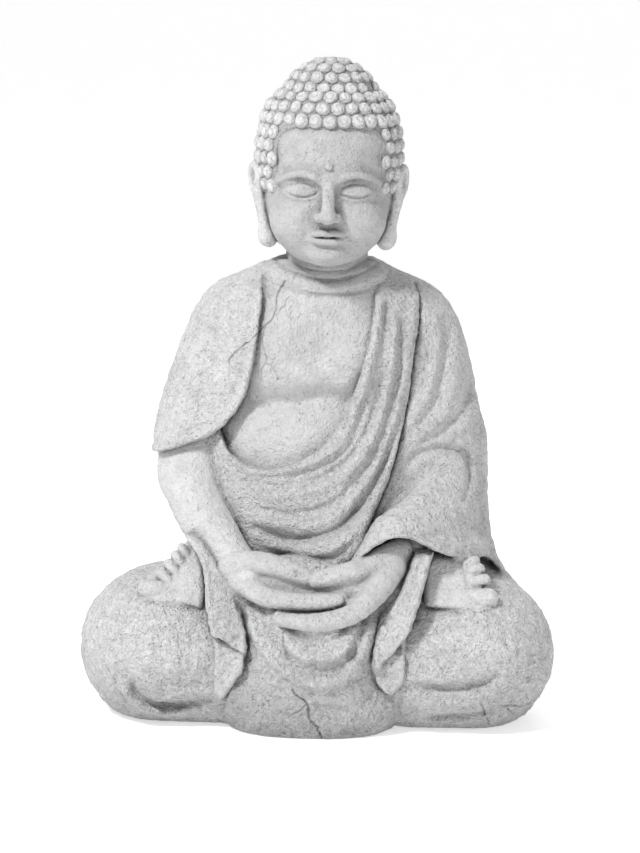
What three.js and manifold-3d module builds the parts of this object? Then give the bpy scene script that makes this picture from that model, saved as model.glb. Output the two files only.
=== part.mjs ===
// Seated meditation figure in cast stone, about 500 mm tall.
// Millimetres, +Z up, the figure faces -Y, origin on the ground under the middle of the bounding box.
// "right" and "left" are the figure's own right and left: its right side is at -X.
import * as THREE from "three";
import { mergeVertices } from "three/addons/utils/BufferGeometryUtils.js";
import Module from "manifold-3d";

const wasm = await Module();
wasm.setup();

// ---------------------------------------------------------------- driving dimensions
const GAP = 0.3; // mortar-free clearance left between two sections that meet
const GROW = 0.36; // how much a neighbour is swollen before it is cut away, so that GAP remains on facets
const AROUND = 24; // vertices round a stacked section
const ROD_R = 5; // neck reinforcing bar radius
const ROD_BORE_R = 5.4;
const ROD_LOW = 232; // bottom and top of the bar
const ROD_TOP = 418;
const ROD_Y = 24;

// Stacked sections: [z, centre x, centre y, half width, depth in front, depth behind, squareness]
const SEAT = [
  [0, 0, 30, 106, 56, 80, 2.5],
  [14, 0, 30, 116, 58, 86, 2.5],
  [48, 0, 30, 121, 58, 86, 2.4],
  [88, 0, 32, 118, 56, 80, 2.3],
  [120, 0, 34, 112, 54, 72, 2.2],
  [136, 0, 35, 104, 50, 64, 2.1],
];
const TORSO = [
  [124, 0, 34, 94, 74, 50, 2.2],
  [150, 0, 34, 92, 78, 50, 2.2],
  [176, 0, 34, 90, 76, 50, 2.2],
  [202, -1, 34, 88, 70, 50, 2.2],
  [228, -2, 34, 88, 64, 50, 2.2],
  [250, -2, 34, 92, 64, 50, 2.2],
  [272, -2, 34, 94, 64, 50, 2.2],
  [294, -2, 33, 88, 59, 48, 2.1],
  [310, -2, 31, 76, 52, 44, 2.0],
  [322, -2, 28, 60, 45, 40, 2.0],
  [332, -2, 25, 44, 38, 36, 2.0],
];
// Outer face of the mantle over back, shoulders and arms.
const ROBE = [
  [120, 0, 35, 128, 58, 76, 2.4],
  [150, 0, 35, 129, 60, 76, 2.4],
  [182, 0, 35, 130, 64, 74, 2.4],
  [209, 0, 35, 128, 67, 72, 2.4],
  [237, 0, 35, 121, 68, 71, 2.35],
  [265, 0, 35, 114, 68, 69, 2.3],
  [293, 0, 34, 106, 63, 65, 2.2],
  [312, 0, 32, 97.5, 55, 59, 2.15],
  [321, 0, 30, 91, 49, 54, 2.1],
  [330, 0, 27, 76, 43, 49, 2.05],
  [338, 0, 24, 56, 37, 43, 2.0],
  [345, 0, 22, 40, 32, 36, 2.0],
];
const APRON = [
  [0, -4, -62, 60, 49, 46, 2.3],
  [8, -5, -62, 68, 52, 46, 2.4],
  [26, -6, -62, 70, 54, 46, 2.4],
  [50, -4, -61, 66, 52, 46, 2.3],
  [76, -2, -58, 60, 46, 44, 2.2],
  [98, 0, -50, 56, 42, 38, 2.2],
  [114, 0, -41, 50, 38, 30, 2.0],
];
const SKULL = [
  [343, 0, -16, 15, 14, 18, 2.0],
  [347, 0, -13, 26, 24, 28, 2.1],
  [358, 0, -6, 36, 35, 40, 2.1],
  [371, 0, 2, 42, 44, 48, 2.1],
  [386, 0, 8, 46.5, 49, 52, 2.1],
  [402, 0, 12, 49.5, 53, 54, 2.1],
  [414, 0, 13, 50.5, 55.5, 54, 2.1],
  [428, 0, 14, 51, 56, 53, 2.1],
  [442, 0, 14, 50.5, 52, 51, 2.1],
  [454, 0, 15, 46, 45, 46, 2.05],
  [464, 0, 16, 36, 34, 36, 2.0],
];
const NECK = [
  [322, -2, 20, 36, 33, 30, 2],
  [333, -1, 20, 32.5, 31, 30, 2],
  [346, 0, 19, 31.5, 30, 30, 2],
  [372, 0, 19, 31, 26, 32, 2],
];
const HAIR = [
  [352, 0, 26, 34, 26, 34, 2],
  [362, 0, 24, 41, 32, 42, 2],
  [378, 0, 20, 49, 43, 51, 2],
  [394, 0, 17, 53.5, 52, 57, 2.05],
  [410, 0, 16, 56.5, 58, 60, 2.1],
  [426, 0, 15, 57.5, 60, 61, 2.1],
  [441, 0, 15, 56.5, 58, 60, 2.1],
  [455, 0, 16, 53, 52, 55, 2.05],
  [466, 0, 17, 46, 44, 47, 2.0],
  [474, 0, 17, 37, 35, 38, 2.0],
];
const USHNISHA_C = [0, 17, 466];
const USHNISHA_R = [36.5, 37, 34];

// Edges of the cloth layers seen from the front: [x, z]
const RIGHT_HEM = [[-46, 352], [-46.7, 342], [-48.4, 315], [-53, 277], [-57.7, 250], [-67, 230.5], [-82, 213], [-105, 204], [-126, 196.6], [-142, 192]];
const SASH_EDGE = [[38, 352], [38.2, 340], [37.6, 320], [33.9, 290], [25.8, 255.6], [13, 225], [-3, 205], [-24, 193], [-45, 189], [-68, 197.7], [-96, 222]];
const SECOND_EDGE = [[66, 352], [70.5, 321], [69.9, 291], [67.5, 245.5], [62, 215], [55.5, 188], [45, 157], [32, 134], [22, 118]];

// Paths with elliptical sections: [x, y, z, half width across, half height]
const RIGHT_ARM = [
  [-101, 16, 228, 21, 22],
  [-101, 8, 196, 23.5, 23],
  [-98, -6, 168, 23, 23],
  [-88, -28, 149, 21, 20],
  [-74, -51, 132, 18, 16],
  [-59, -70, 119, 15.5, 13],
];
const LEFT_SLEEVE_FORE = [
  [96, 12, 160, 32, 34],
  [86, -24, 156, 29, 29],
  [66, -48, 149, 25, 22],
  [48, -62, 143, 20, 15],
];
const LEFT_SLEEVE_SKIRT = [
  [110, 0, 138, 22, 18],
  [92, -34, 136, 22, 12],
  [64, -58, 137, 18, 9],
];
const LEFT_ARM = [
  [84, -26, 138, 15, 14],
  [66, -60, 134, 15, 13],
  [54, -74, 127, 15, 12],
];
const HAND_R = {
  palm: [[-57, -75, 116, 15, 12], [-44, -87, 108, 16, 11], [-30, -93, 103, 15, 8.5]],
  fingers: [
    [[-36, -95, 103.5, 6.6], [-18, -99.5, 101.5, 6.3], [0, -100.5, 101, 6], [14, -99.5, 102.6, 4.8]],
    [[-36, -88, 102.5, 6.6], [-18, -91, 100.6, 6.2], [2, -92.5, 100.4, 6], [16, -91.5, 102, 4.8]],
    [[-36, -80, 102.5, 6.4], [-16, -83, 100.6, 6], [2, -84, 100.6, 5.6], [12, -83.5, 102, 4.6]],
  ],
  thumb: [[-52, -80, 123, 8.4], [-38, -85.5, 125.5, 7.8], [-24, -88.5, 122.6, 7.2], [-10.5, -89.5, 118, 6]],
};
const HAND_L = {
  palm: [[52, -79, 122, 14.5, 12], [43, -90, 110, 15, 11], [31, -98, 100, 14, 8.6]],
  fingers: [
    [[34, -98.5, 99, 7.2], [18, -104.5, 91.5, 6.8], [-4, -107.5, 87.8, 6.4], [-25, -107, 88.6, 4.8]],
    [[34, -91, 98, 6.8], [18, -95.5, 92.5, 6.6], [-4, -98, 88.2, 6.2], [-26, -96.5, 89.6, 4.8]],
    [[34, -83, 98, 6.4], [16, -87.2, 93, 6.2], [-5, -89.2, 88.8, 5.8], [-22, -88, 90, 4.7]],
  ],
  thumb: [[52, -76, 132, 8.6], [37, -82, 127.5, 8], [19, -86.5, 120.6, 7.2], [-1, -89.5, 116, 6.2]],
};
const FOOT_ON_RIGHT = {
  sole: [[-84, -66, 94, 12, 15], [-97, -62, 98, 14, 17], [-112, -56, 102, 15, 16]],
  toes: [
    [[-114, -62, 95, 8], [-126, -59, 95, 7.8], [-132, -56, 96, 6.5]],
    [[-112, -58, 104, 5.6], [-125, -52, 106, 5.2]],
    [[-108, -55, 110, 5.2], [-119, -47, 113, 5]],
    [[-102, -53, 115, 5], [-112, -44, 118, 4.8]],
    [[-96, -50, 118, 4.8], [-104, -41, 122, 4.6]],
  ],
};
const FOOT_ON_LEFT = {
  sole: [[84, -62, 97, 11, 16], [97, -62, 101, 14, 18], [112, -58, 103, 14, 17]],
  toes: [
    [[114, -63, 95, 8.4], [126, -61, 94, 8.2], [131, -58, 94, 7.4]],
    [[114, -58, 105, 5.8], [125, -53, 106, 5.6]],
    [[110, -54, 111, 5.4], [120, -48, 113, 5.2]],
    [[104, -50, 116, 5], [114, -44, 118, 4.8]],
  ],
};
const RIGHT_EDGE = [
  [-90, -66, 128, 7, 10],
  [-82, -77, 110, 10, 10],
  [-74, -86, 90, 12, 10],
  [-66, -94, 64, 12, 10],
  [-67, -95, 42, 11, 10],
  [-71, -92, 22, 9, 9],
];
const LEFT_EDGE = [
  [74, -68, 124, 6, 9],
  [67, -81, 104, 11, 10],
  [59, -90, 80, 12, 10],
  [54, -96, 58, 11, 10],
  [58, -96, 38, 9, 9],
];

// ---------------------------------------------------------------- geometry helpers
const V = (x, y, z) => new THREE.Vector3(x, y, z);

function signedVolume(g) {
  const p = g.getAttribute("position");
  const i = g.index;
  let sum = 0;
  const a = V(), b = V(), c = V();
  for (let k = 0; k < i.count; k += 3) {
    a.fromBufferAttribute(p, i.getX(k));
    b.fromBufferAttribute(p, i.getX(k + 1));
    c.fromBufferAttribute(p, i.getX(k + 2));
    sum += a.dot(b.clone().cross(c)) / 6;
  }
  return sum;
}

// A closed skin through rings of the same count, each end closed by a fan to its middle.
function skin(rings) {
  const n = rings[0].length;
  const at = [];
  const faces = [];
  for (const r of rings) for (const q of r) at.push(q.x, q.y, q.z);
  for (let j = 0; j < rings.length - 1; j++)
    for (let k = 0; k < n; k++) {
      const a = j * n + k, b = j * n + ((k + 1) % n), c = a + n, d = b + n;
      faces.push(a, b, d, a, d, c);
    }
  for (const [j, turn] of [[0, true], [rings.length - 1, false]]) {
    const mid = rings[j].reduce((s, q) => s.add(q), V(0, 0, 0)).divideScalar(n);
    const m = at.length / 3;
    at.push(mid.x, mid.y, mid.z);
    for (let k = 0; k < n; k++) {
      const a = j * n + k, b = j * n + ((k + 1) % n);
      if (turn) faces.push(m, b, a);
      else faces.push(m, a, b);
    }
  }
  const g = new THREE.BufferGeometry();
  g.setAttribute("position", new THREE.BufferAttribute(new Float32Array(at), 3));
  g.setIndex(faces);
  if (signedVolume(g) < 0)
    for (let k = 0; k < faces.length; k += 3)
      [faces[k + 1], faces[k + 2]] = [faces[k + 2], faces[k + 1]];
  g.setIndex(faces);
  return g;
}

function spline(rows, t) {
  const last = rows.length - 1;
  const s = Math.min(Math.max(t * last, 0), last - 1e-9);
  const i = Math.floor(s), u = s - i;
  const at = (k) => rows[Math.min(Math.max(k, 0), last)];
  const [p, q, r, w] = [at(i - 1), at(i), at(i + 1), at(i + 2)];
  return q.map((_, k) => {
    const m0 = (r[k] - p[k]) / 2, m1 = (w[k] - q[k]) / 2;
    const u2 = u * u, u3 = u2 * u;
    return (2 * u3 - 3 * u2 + 1) * q[k] + (u3 - 2 * u2 + u) * m0 + (3 * u2 - 2 * u3) * r[k] + (u3 - u2) * m1;
  });
}

// Rings lying flat, one above another, rounder or squarer by the last number of each row.
function stack(rows, extra = 0, steps = 2) {
  const rings = [];
  const count = (rows.length - 1) * steps;
  for (let j = 0; j <= count; j++) {
    const [z, cx, cy, rx, ryf, ryb, sq] = spline(rows, j / count);
    const ring = [];
    for (let k = 0; k < AROUND; k++) {
      const a = (2 * Math.PI * k) / AROUND;
      const c = Math.cos(a), s = Math.sin(a);
      const x = Math.sign(c) * Math.abs(c) ** (2 / sq) * (rx + extra);
      const y = Math.sign(s) * Math.abs(s) ** (2 / sq) * ((s < 0 ? ryf : ryb) + extra);
      ring.push(V(cx + x, cy + y, z));
    }
    rings.push(ring);
  }
  return skin(rings);
}

// A limb along a Catmull-Rom line with elliptical sections and round ends.
function limb(rows, around = 16, steps = 2, tip = 0.75) {
  const line = new THREE.CatmullRomCurve3(rows.map((r) => V(r[0], r[1], r[2])), false, "catmullrom", 0.5);
  const rings = [];
  const ref = V(0, 0, 1);
  const count = (rows.length - 1) * steps;
  const put = (c, tangent, a, b) => {
    const up = ref.clone().addScaledVector(tangent, -ref.dot(tangent));
    if (up.length() < 0.35) up.copy(V(0, -1, 0)).addScaledVector(tangent, tangent.y);
    up.normalize();
    const side = tangent.clone().cross(up).normalize();
    const ring = [];
    for (let k = 0; k < around; k++) {
      const q = (2 * Math.PI * k) / around;
      ring.push(c.clone().addScaledVector(side, a * Math.cos(q)).addScaledVector(up, b * Math.sin(q)));
    }
    rings.push(ring);
  };
  for (let j = 0; j <= count; j++) {
    const t = j / count;
    const p = line.getPoint(t), d = line.getTangent(t);
    const radii = spline(rows.map((r) => [r[3], r[4] ?? r[3]]), t);
    if (j === 0)
      for (const [o, f] of [[tip, 0.45], [tip * 0.62, 0.8]])
        put(p.clone().addScaledVector(d, -o * Math.min(...radii)), d, radii[0] * f, radii[1] * f);
    put(p, d, radii[0], radii[1]);
    if (j === count)
      for (const [o, f] of [[tip * 0.62, 0.8], [tip, 0.45]])
        put(p.clone().addScaledVector(d, o * Math.min(...radii)), d, radii[0] * f, radii[1] * f);
  }
  return skin(rings);
}

function ball(c, r, wide = 22, high = 14, tilt = [0, 0, 0]) {
  const g = new THREE.SphereGeometry(1, wide, high);
  g.rotateX(Math.PI / 2);
  g.scale(r[0], r[1], r[2]);
  g.applyMatrix4(new THREE.Matrix4().makeRotationFromEuler(new THREE.Euler(...tilt)));
  g.translate(c[0], c[1], c[2]);
  return g;
}

function block(lo, hi) {
  const g = new THREE.BoxGeometry(hi[0] - lo[0], hi[1] - lo[1], hi[2] - lo[2]);
  g.translate((lo[0] + hi[0]) / 2, (lo[1] + hi[1]) / 2, (lo[2] + hi[2]) / 2);
  return g;
}

// A slab that is a given outline from the front and runs from y0 to y1.
function slab(outline, y0, y1) {
  const shape = new THREE.Shape(outline.map(([x, z]) => new THREE.Vector2(x, z)));
  const g = new THREE.ExtrudeGeometry(shape, { depth: y1 - y0, bevelEnabled: false, steps: 1 });
  g.rotateX(Math.PI / 2);
  g.translate(0, y1, 0);
  return g;
}

function rod(x, y, z0, z1, r, n = 16) {
  const g = new THREE.CylinderGeometry(r, r, z1 - z0, n);
  g.rotateX(Math.PI / 2);
  g.translate(x, y, (z0 + z1) / 2);
  return g;
}

function solid(g) {
  const bare = new THREE.BufferGeometry();
  bare.setAttribute("position", g.getAttribute("position").clone());
  if (g.index) bare.setIndex(g.index.clone());
  const m = mergeVertices(bare, 1e-3);
  return new wasm.Manifold(
    new wasm.Mesh({
      numProp: 3,
      vertProperties: new Float32Array(m.getAttribute("position").array),
      triVerts: new Uint32Array(m.index.array),
    }),
  );
}

function geometry(s) {
  const m = s.getMesh();
  const v = new Float32Array(m.numVert * 3);
  for (let i = 0; i < m.numVert; i++)
    for (let k = 0; k < 3; k++) v[3 * i + k] = m.vertProperties[i * m.numProp + k];
  const g = new THREE.BufferGeometry();
  g.setAttribute("position", new THREE.BufferAttribute(v, 3));
  g.setIndex(new THREE.BufferAttribute(new Uint32Array(m.triVerts), 1));
  g.computeVertexNormals();
  return g;
}

const join = (...list) => list.map((x) => (x.isBufferGeometry ? solid(x) : x)).reduce((a, b) => a.add(b));
const cut = (s, ...list) => list.map((x) => (x.isBufferGeometry ? solid(x) : x)).reduce((a, b) => a.subtract(b), s);
const largest = (s) => s.decompose().sort((a, b) => b.volume() - a.volume())[0];

// The same solid with every face pushed out by the same amount, to cut a neighbour with clearance.
function swell(s, by = GROW) {
  const g = mergeVertices(geometry(s).deleteAttribute("normal"), 1e-3);
  const p = g.getAttribute("position"), ix = g.index;
  const around = Array.from({ length: p.count }, () => []);
  const a = V(), b = V(), c = V();
  for (let k = 0; k < ix.count; k += 3) {
    const t = [ix.getX(k), ix.getX(k + 1), ix.getX(k + 2)];
    a.fromBufferAttribute(p, t[0]);
    b.fromBufferAttribute(p, t[1]).sub(a);
    c.fromBufferAttribute(p, t[2]).sub(a);
    const n = b.clone().cross(c);
    if (n.length() < 1e-5) continue;
    n.normalize();
    for (const v of t) around[v].push(n);
  }
  for (let i = 0; i < p.count; i++) {
    const d = V();
    for (let turn = 0; turn < 14; turn++)
      for (const n of around[i]) {
        const short = by - n.dot(d);
        if (short > 1e-4) d.addScaledVector(n, short);
      }
    if (d.length() > 3 * by) d.setLength(3 * by);
    p.setXYZ(i, p.getX(i) + d.x, p.getY(i) + d.y, p.getZ(i) + d.z);
  }
  return solid(g);
}

// ---------------------------------------------------------------- the sections, inside ones first
const ground = block([-400, -400, -200], [400, 400, 0]);
const made = new Map();
const clear = new Map();
// Each new section gives way to the named ones made before it; bores are drilled last.
function section(name, s, givesWayTo = [], ...bores) {
  let r = cut(s, ground);
  clear.set(name, swell(r));
  for (const other of givesWayTo) r = r.subtract(clear.get(other));
  made.set(name, largest(cut(r, ...bores)));
}

// Neck reinforcing bar, and the head that it holds on the torso.
made.set("neck_rod", solid(rod(0, ROD_Y, ROD_LOW, ROD_TOP, ROD_R)));
const bore = rod(0, ROD_Y, ROD_LOW - 0.4, ROD_TOP + 0.4, ROD_BORE_R);

const nose = limb([[0, -42, 410, 4, 4], [0, -47, 396, 4.5, 5], [0, -51, 384, 7.5, 6]], 10, 1, 0.6);
const eye = (side) => ball([side * 19.5, -34, 402], [11, 7, 5.2], 12, 8);
const brow = (side) => limb([[side * 6, -41.5, 411, 3], [side * 19, -40, 415.5, 3], [side * 35, -27, 410, 3]], 8, 1, 0.6);
const upperLip = ball([0, -41, 369.5], [14, 6, 3.2], 14, 8);
const lowerLip = ball([0, -39.5, 364.5], [11, 6, 3.4], 14, 8);
const chin = ball([0, -28, 352.5], [13, 10.5, 9], 14, 8);
section("head", join(stack(SKULL, 0, 1), stack(NECK, 0, 1), nose, eye(-1), eye(1), brow(-1), brow(1), upperLip, lowerLip, chin), [], bore);
section("torso", solid(stack(TORSO, 0, 1)), ["head"], bore);

const faceOpening = [
  block([-47, -120, 300], [47, -14, 446]),
  block([-90, -120, 300], [90, -14, 404]),
  block([-90, -120, 300], [90, 12, 392]),
  block([-90, -120, 300], [90, 34, 372]),
];
section("hair_cap", cut(solid(stack(HAIR, 0, 1)), ...faceOpening), ["head", "torso"]);
section("ushnisha", solid(ball(USHNISHA_C, USHNISHA_R, 22, 14)), ["head", "hair_cap"]);
const ear = (side) => join(
  ball([side * 51, 6, 402], [7, 13, 17], 14, 10, [0.1, side * 0.1, 0]),
  limb([[side * 50, 4, 398, 5, 10], [side * 48.5, 3, 382, 5, 9], [side * 46, 3, 369, 6, 8.5]], 12, 1, 0.9),
);
section("right_ear", ear(-1), ["head", "hair_cap"]);
section("left_ear", ear(1), ["head", "hair_cap"]);

// Lower body.
section("seat", solid(stack(SEAT, 0, 1)), ["torso"]);
const leg = (side) => join(
  ball([side * 118, -22, 50], [63, 82, 61], 20, 14),
  ball([side * 98, 22, 50], [72, 62, 56], 18, 12),
  ball([side * 74, -48, 42], [62, 54, 50], 18, 12),
);
section("right_leg", cut(leg(-1), block([-4, -200, -10], [300, 200, 300])), ["seat", "torso"]);
section("left_leg", cut(leg(1), block([-300, -200, -10], [4, 200, 300])), ["seat", "torso"]);
section("front_apron", solid(stack(APRON, 0, 1)), ["right_leg", "left_leg", "seat", "torso"]);

// Arms and hands.
section("right_arm", solid(limb(RIGHT_ARM, 14, 1, 0.3)), ["torso", "right_leg", "seat", "front_apron"]);
section("left_arm", solid(limb(LEFT_ARM, 12, 1, 0.3)), ["torso", "left_leg", "seat", "front_apron"]);
const hand = (h) => join(
  solid(limb(h.palm, 12, 1, 0.5)),
  ...h.fingers.map((f) => solid(limb(f, 8, 1, 0.8))),
  solid(limb(h.thumb, 8, 1, 0.8)),
);
section("left_hand", hand(HAND_L), ["left_arm", "front_apron", "torso", "left_leg", "right_leg"]);
section("right_hand", hand(HAND_R), ["left_hand", "right_arm", "front_apron", "torso", "right_leg", "left_leg"]);

// Feet, soles up on the thighs.
const foot = (f) => join(solid(limb(f.sole, 12, 1, 0.6)), ...f.toes.map((t) => solid(limb(t, 8, 1, 0.8))));
section("left_foot", foot(FOOT_ON_RIGHT), ["right_leg", "seat", "torso", "right_arm", "front_apron", "right_hand"]);
section("right_foot", foot(FOOT_ON_LEFT), ["left_leg", "seat", "torso", "left_arm", "front_apron", "left_hand"]);

// Robe: the back of the mantle, the folds laid over chest and belly, and the two sleeves.
const SPLIT = 24;
const behind = block([-300, SPLIT, -10], [300, 300, 600]);
const inFront = block([-300, -300, -10], [300, SPLIT + GAP, 600]);
const robe = solid(stack(ROBE, 0, 1));
const inner = ["torso", "head", "right_arm", "left_arm", "seat", "right_leg", "left_leg"];
const besideForearm = block([-300, -300, -10], [-106, 300, 188]);
section("robe_back", cut(robe, inFront, besideForearm), inner);
const rightOf = [...RIGHT_HEM, [-200, 192], [-200, 352]];
const leftOf = [[66, 352], ...SECOND_EDGE.slice(1), [22, 60], [200, 60], [200, 352]];
section("right_sleeve", cut(robe, behind).intersect(solid(slab(rightOf, -200, 200))), [...inner, "hair_cap", "robe_back"]);
section("left_sleeve",
  cut(join(robe, limb(LEFT_SLEEVE_FORE, 16, 1, 0.3), limb(LEFT_SLEEVE_SKIRT, 12, 1, 0.3)), behind)
    .intersect(solid(slab(leftOf, -200, 200))),
  [...inner, "robe_back", "left_hand", "right_foot", "front_apron"]);
const sashArea = [...SASH_EDGE, [-96, 124], [22, 124], ...[...SECOND_EDGE].reverse().slice(1).map(([x, z]) => [x - 0.4, z])];
section("robe_sash",
  cut(solid(stack(TORSO, 7, 1)), behind, block([-300, -300, 0], [300, 300, 125])).intersect(solid(slab(sashArea, -200, 200))),
  [...inner, "robe_back", "right_sleeve", "left_sleeve", "front_apron", "left_hand", "right_hand"]);
const lowerBody = ["right_leg", "left_leg", "front_apron", "right_hand", "left_hand", "torso", "seat"];
section("right_robe_edge", solid(limb(RIGHT_EDGE, 12, 1, 0.4)), [...lowerBody, "right_arm", "left_foot"]);
section("left_robe_edge", solid(limb(LEFT_EDGE, 12, 1, 0.4)), [...lowerBody, "left_arm", "left_sleeve", "right_foot"]);

// ---------------------------------------------------------------- the assembly
const castStone = () => new THREE.MeshStandardMaterial({ color: 0xcfcfcd, roughness: 0.92, metalness: 0 });
const steel = () => new THREE.MeshStandardMaterial({ color: 0x6f6a66, roughness: 0.55, metalness: 0.9 });

const buddha = new THREE.Group();
for (const [name, s] of made) {
  const mesh = new THREE.Mesh(geometry(s), name === "neck_rod" ? steel() : castStone());
  mesh.name = name;
  buddha.add(mesh);
}

export default buddha;
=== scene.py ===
"""Looks of a seated meditation figure in cast stone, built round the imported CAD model.

The figure is one casting, so its skin is worked out as one signed-distance field in millimetres, meshed once,
and then handed out to the named sections along the sculpted creases.
"""
import math
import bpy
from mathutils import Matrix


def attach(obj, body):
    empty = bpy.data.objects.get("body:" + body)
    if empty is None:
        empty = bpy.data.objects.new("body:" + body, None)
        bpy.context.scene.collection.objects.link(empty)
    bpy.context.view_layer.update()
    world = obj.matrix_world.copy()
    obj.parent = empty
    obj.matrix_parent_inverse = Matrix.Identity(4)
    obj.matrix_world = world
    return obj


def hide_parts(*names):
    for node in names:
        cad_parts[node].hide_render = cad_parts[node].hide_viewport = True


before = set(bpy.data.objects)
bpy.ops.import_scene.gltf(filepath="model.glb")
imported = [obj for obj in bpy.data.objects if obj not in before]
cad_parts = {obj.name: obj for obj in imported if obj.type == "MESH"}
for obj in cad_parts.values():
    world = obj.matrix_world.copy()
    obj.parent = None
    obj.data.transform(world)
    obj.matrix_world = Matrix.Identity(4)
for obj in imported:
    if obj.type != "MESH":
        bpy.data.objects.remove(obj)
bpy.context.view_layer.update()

from concurrent.futures import ThreadPoolExecutor

import bmesh
import bpy
import numpy as np
from mathutils import Matrix, Vector

F = np.float32
MM = 0.001

BODY_STEP = 1.3  # grid pitch of the body
HEAD_STEP = 0.8  # and of the head
FACE_TILT = math.radians(3.0)

# ------------------------------------------------------------------ field helpers


def smin(a, b, k):
    h = np.maximum(k - np.abs(a - b), 0) * F(1 / k)
    return np.minimum(a, b) - h * h * F(k * 0.25)


def smax(a, b, k):
    h = np.maximum(k - np.abs(a - b), 0) * F(1 / k)
    return np.maximum(a, b) + h * h * F(k * 0.25)


def bell(d, w):
    q = d * F(1 / w)
    return np.exp(-q * q)


def ramp(v, a, b):
    t = np.clip((v - F(a)) * F(1 / (b - a)), 0, 1)
    return t * t * (3 - 2 * t)


def hermite(rows, n):
    a = np.array(rows, float)
    z, v = a[:, 0], a[:, 1:]
    h = np.diff(z)[:, None]
    s = np.diff(v, axis=0) / h
    m = np.zeros_like(v)
    m[0], m[-1] = s[0], s[-1]
    m[1:-1] = (s[:-1] * h[1:] + s[1:] * h[:-1]) / (h[1:] + h[:-1])
    zz = np.linspace(z[0], z[-1], n)
    i = np.clip(np.searchsorted(z, zz, side="right") - 1, 0, len(z) - 2)
    hh = (z[i + 1] - z[i])[:, None]
    t = ((zz - z[i]) / (z[i + 1] - z[i]))[:, None]
    return (
        (2 * t**3 - 3 * t**2 + 1) * v[i]
        + (t**3 - 2 * t**2 + t) * hh * m[i]
        + (3 * t**2 - 2 * t**3) * v[i + 1]
        + (t**3 - t**2) * hh * m[i + 1]
    )


class Stack:
    """Level superellipse sections: rows of z, centre x, centre y, half width, depth in front, depth behind, squareness."""

    def __init__(self, rows, cap=4.0, n=192):
        self.z0, self.z1, self.n, self.cap = rows[0][0], rows[-1][0], n, cap
        c = hermite(rows, n)
        dz = (self.z1 - self.z0) / (n - 1)
        mean = (c[:, 2] + c[:, 3] * 0.5 + c[:, 4] * 0.5) / 2
        slope = np.gradient(mean, dz)
        self.c = np.column_stack([c, 1 / np.sqrt(1 + np.minimum(slope**2, 6))]).astype(F)
        self.k = F((n - 1) / (self.z1 - self.z0))

    def __call__(self, x, y, z):
        t = np.clip((z - F(self.z0)) * self.k, 0, self.n - 1.001)
        i = t.astype(np.int32)
        r = self.c[i]
        r = r + (self.c[i + 1] - r) * (t - i)[:, None]
        X = np.abs(x - r[:, 0]) / r[:, 2] + F(1e-5)
        yy = y - r[:, 1]
        ry = np.where(yy < 0, r[:, 3], r[:, 4])
        Y = np.abs(yy) / ry + F(1e-5)
        n = r[:, 5]
        px, py = X**n, Y**n
        s = px + py
        k0 = s ** (1 / n)
        g = np.sqrt((px / X / r[:, 2]) ** 2 + (py / Y / ry) ** 2) * k0 / s
        d = np.maximum((k0 - 1) / g, -60) * r[:, 6]
        return smax(d, np.maximum(F(self.z0) - z, z - F(self.z1)), self.cap)


def turn(rx=0, ry=0, rz=0):
    """World to local rotation of a solid turned by these angles in degrees."""
    m = (
        Matrix.Rotation(math.radians(rz), 3, "Z")
        @ Matrix.Rotation(math.radians(ry), 3, "Y")
        @ Matrix.Rotation(math.radians(rx), 3, "X")
    )
    return np.array(m.transposed(), F)


def ell(x, y, z, c, r, rot=None):
    a, b, d = x - F(c[0]), y - F(c[1]), z - F(c[2])
    if rot is not None:
        a, b, d = (
            rot[0, 0] * a + rot[0, 1] * b + rot[0, 2] * d,
            rot[1, 0] * a + rot[1, 1] * b + rot[1, 2] * d,
            rot[2, 0] * a + rot[2, 1] * b + rot[2, 2] * d,
        )
    a, b, d = a * F(1 / r[0]), b * F(1 / r[1]), d * F(1 / r[2])
    k0 = np.sqrt(a * a + b * b + d * d)
    a, b, d = a * F(1 / r[0]), b * F(1 / r[1]), d * F(1 / r[2])
    k1 = np.sqrt(a * a + b * b + d * d) + F(1e-6)
    return k0 * (k0 - 1) / k1


def catmull(pts, per):
    p = np.array(pts, float)
    q = np.vstack([2 * p[0] - p[1], p, 2 * p[-1] - p[-2]])
    out = []
    for i in range(1, len(q) - 2):
        for t in np.linspace(0, 1, per, endpoint=False):
            a, b, c, d = q[i - 1], q[i], q[i + 1], q[i + 2]
            out.append(
                0.5
                * (
                    2 * b
                    + (c - a) * t
                    + (2 * a - 5 * b + 4 * c - d) * t * t
                    + (3 * b - a - 3 * c + d) * t**3
                )
            )
    out.append(p[-1])
    return np.array(out)


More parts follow.
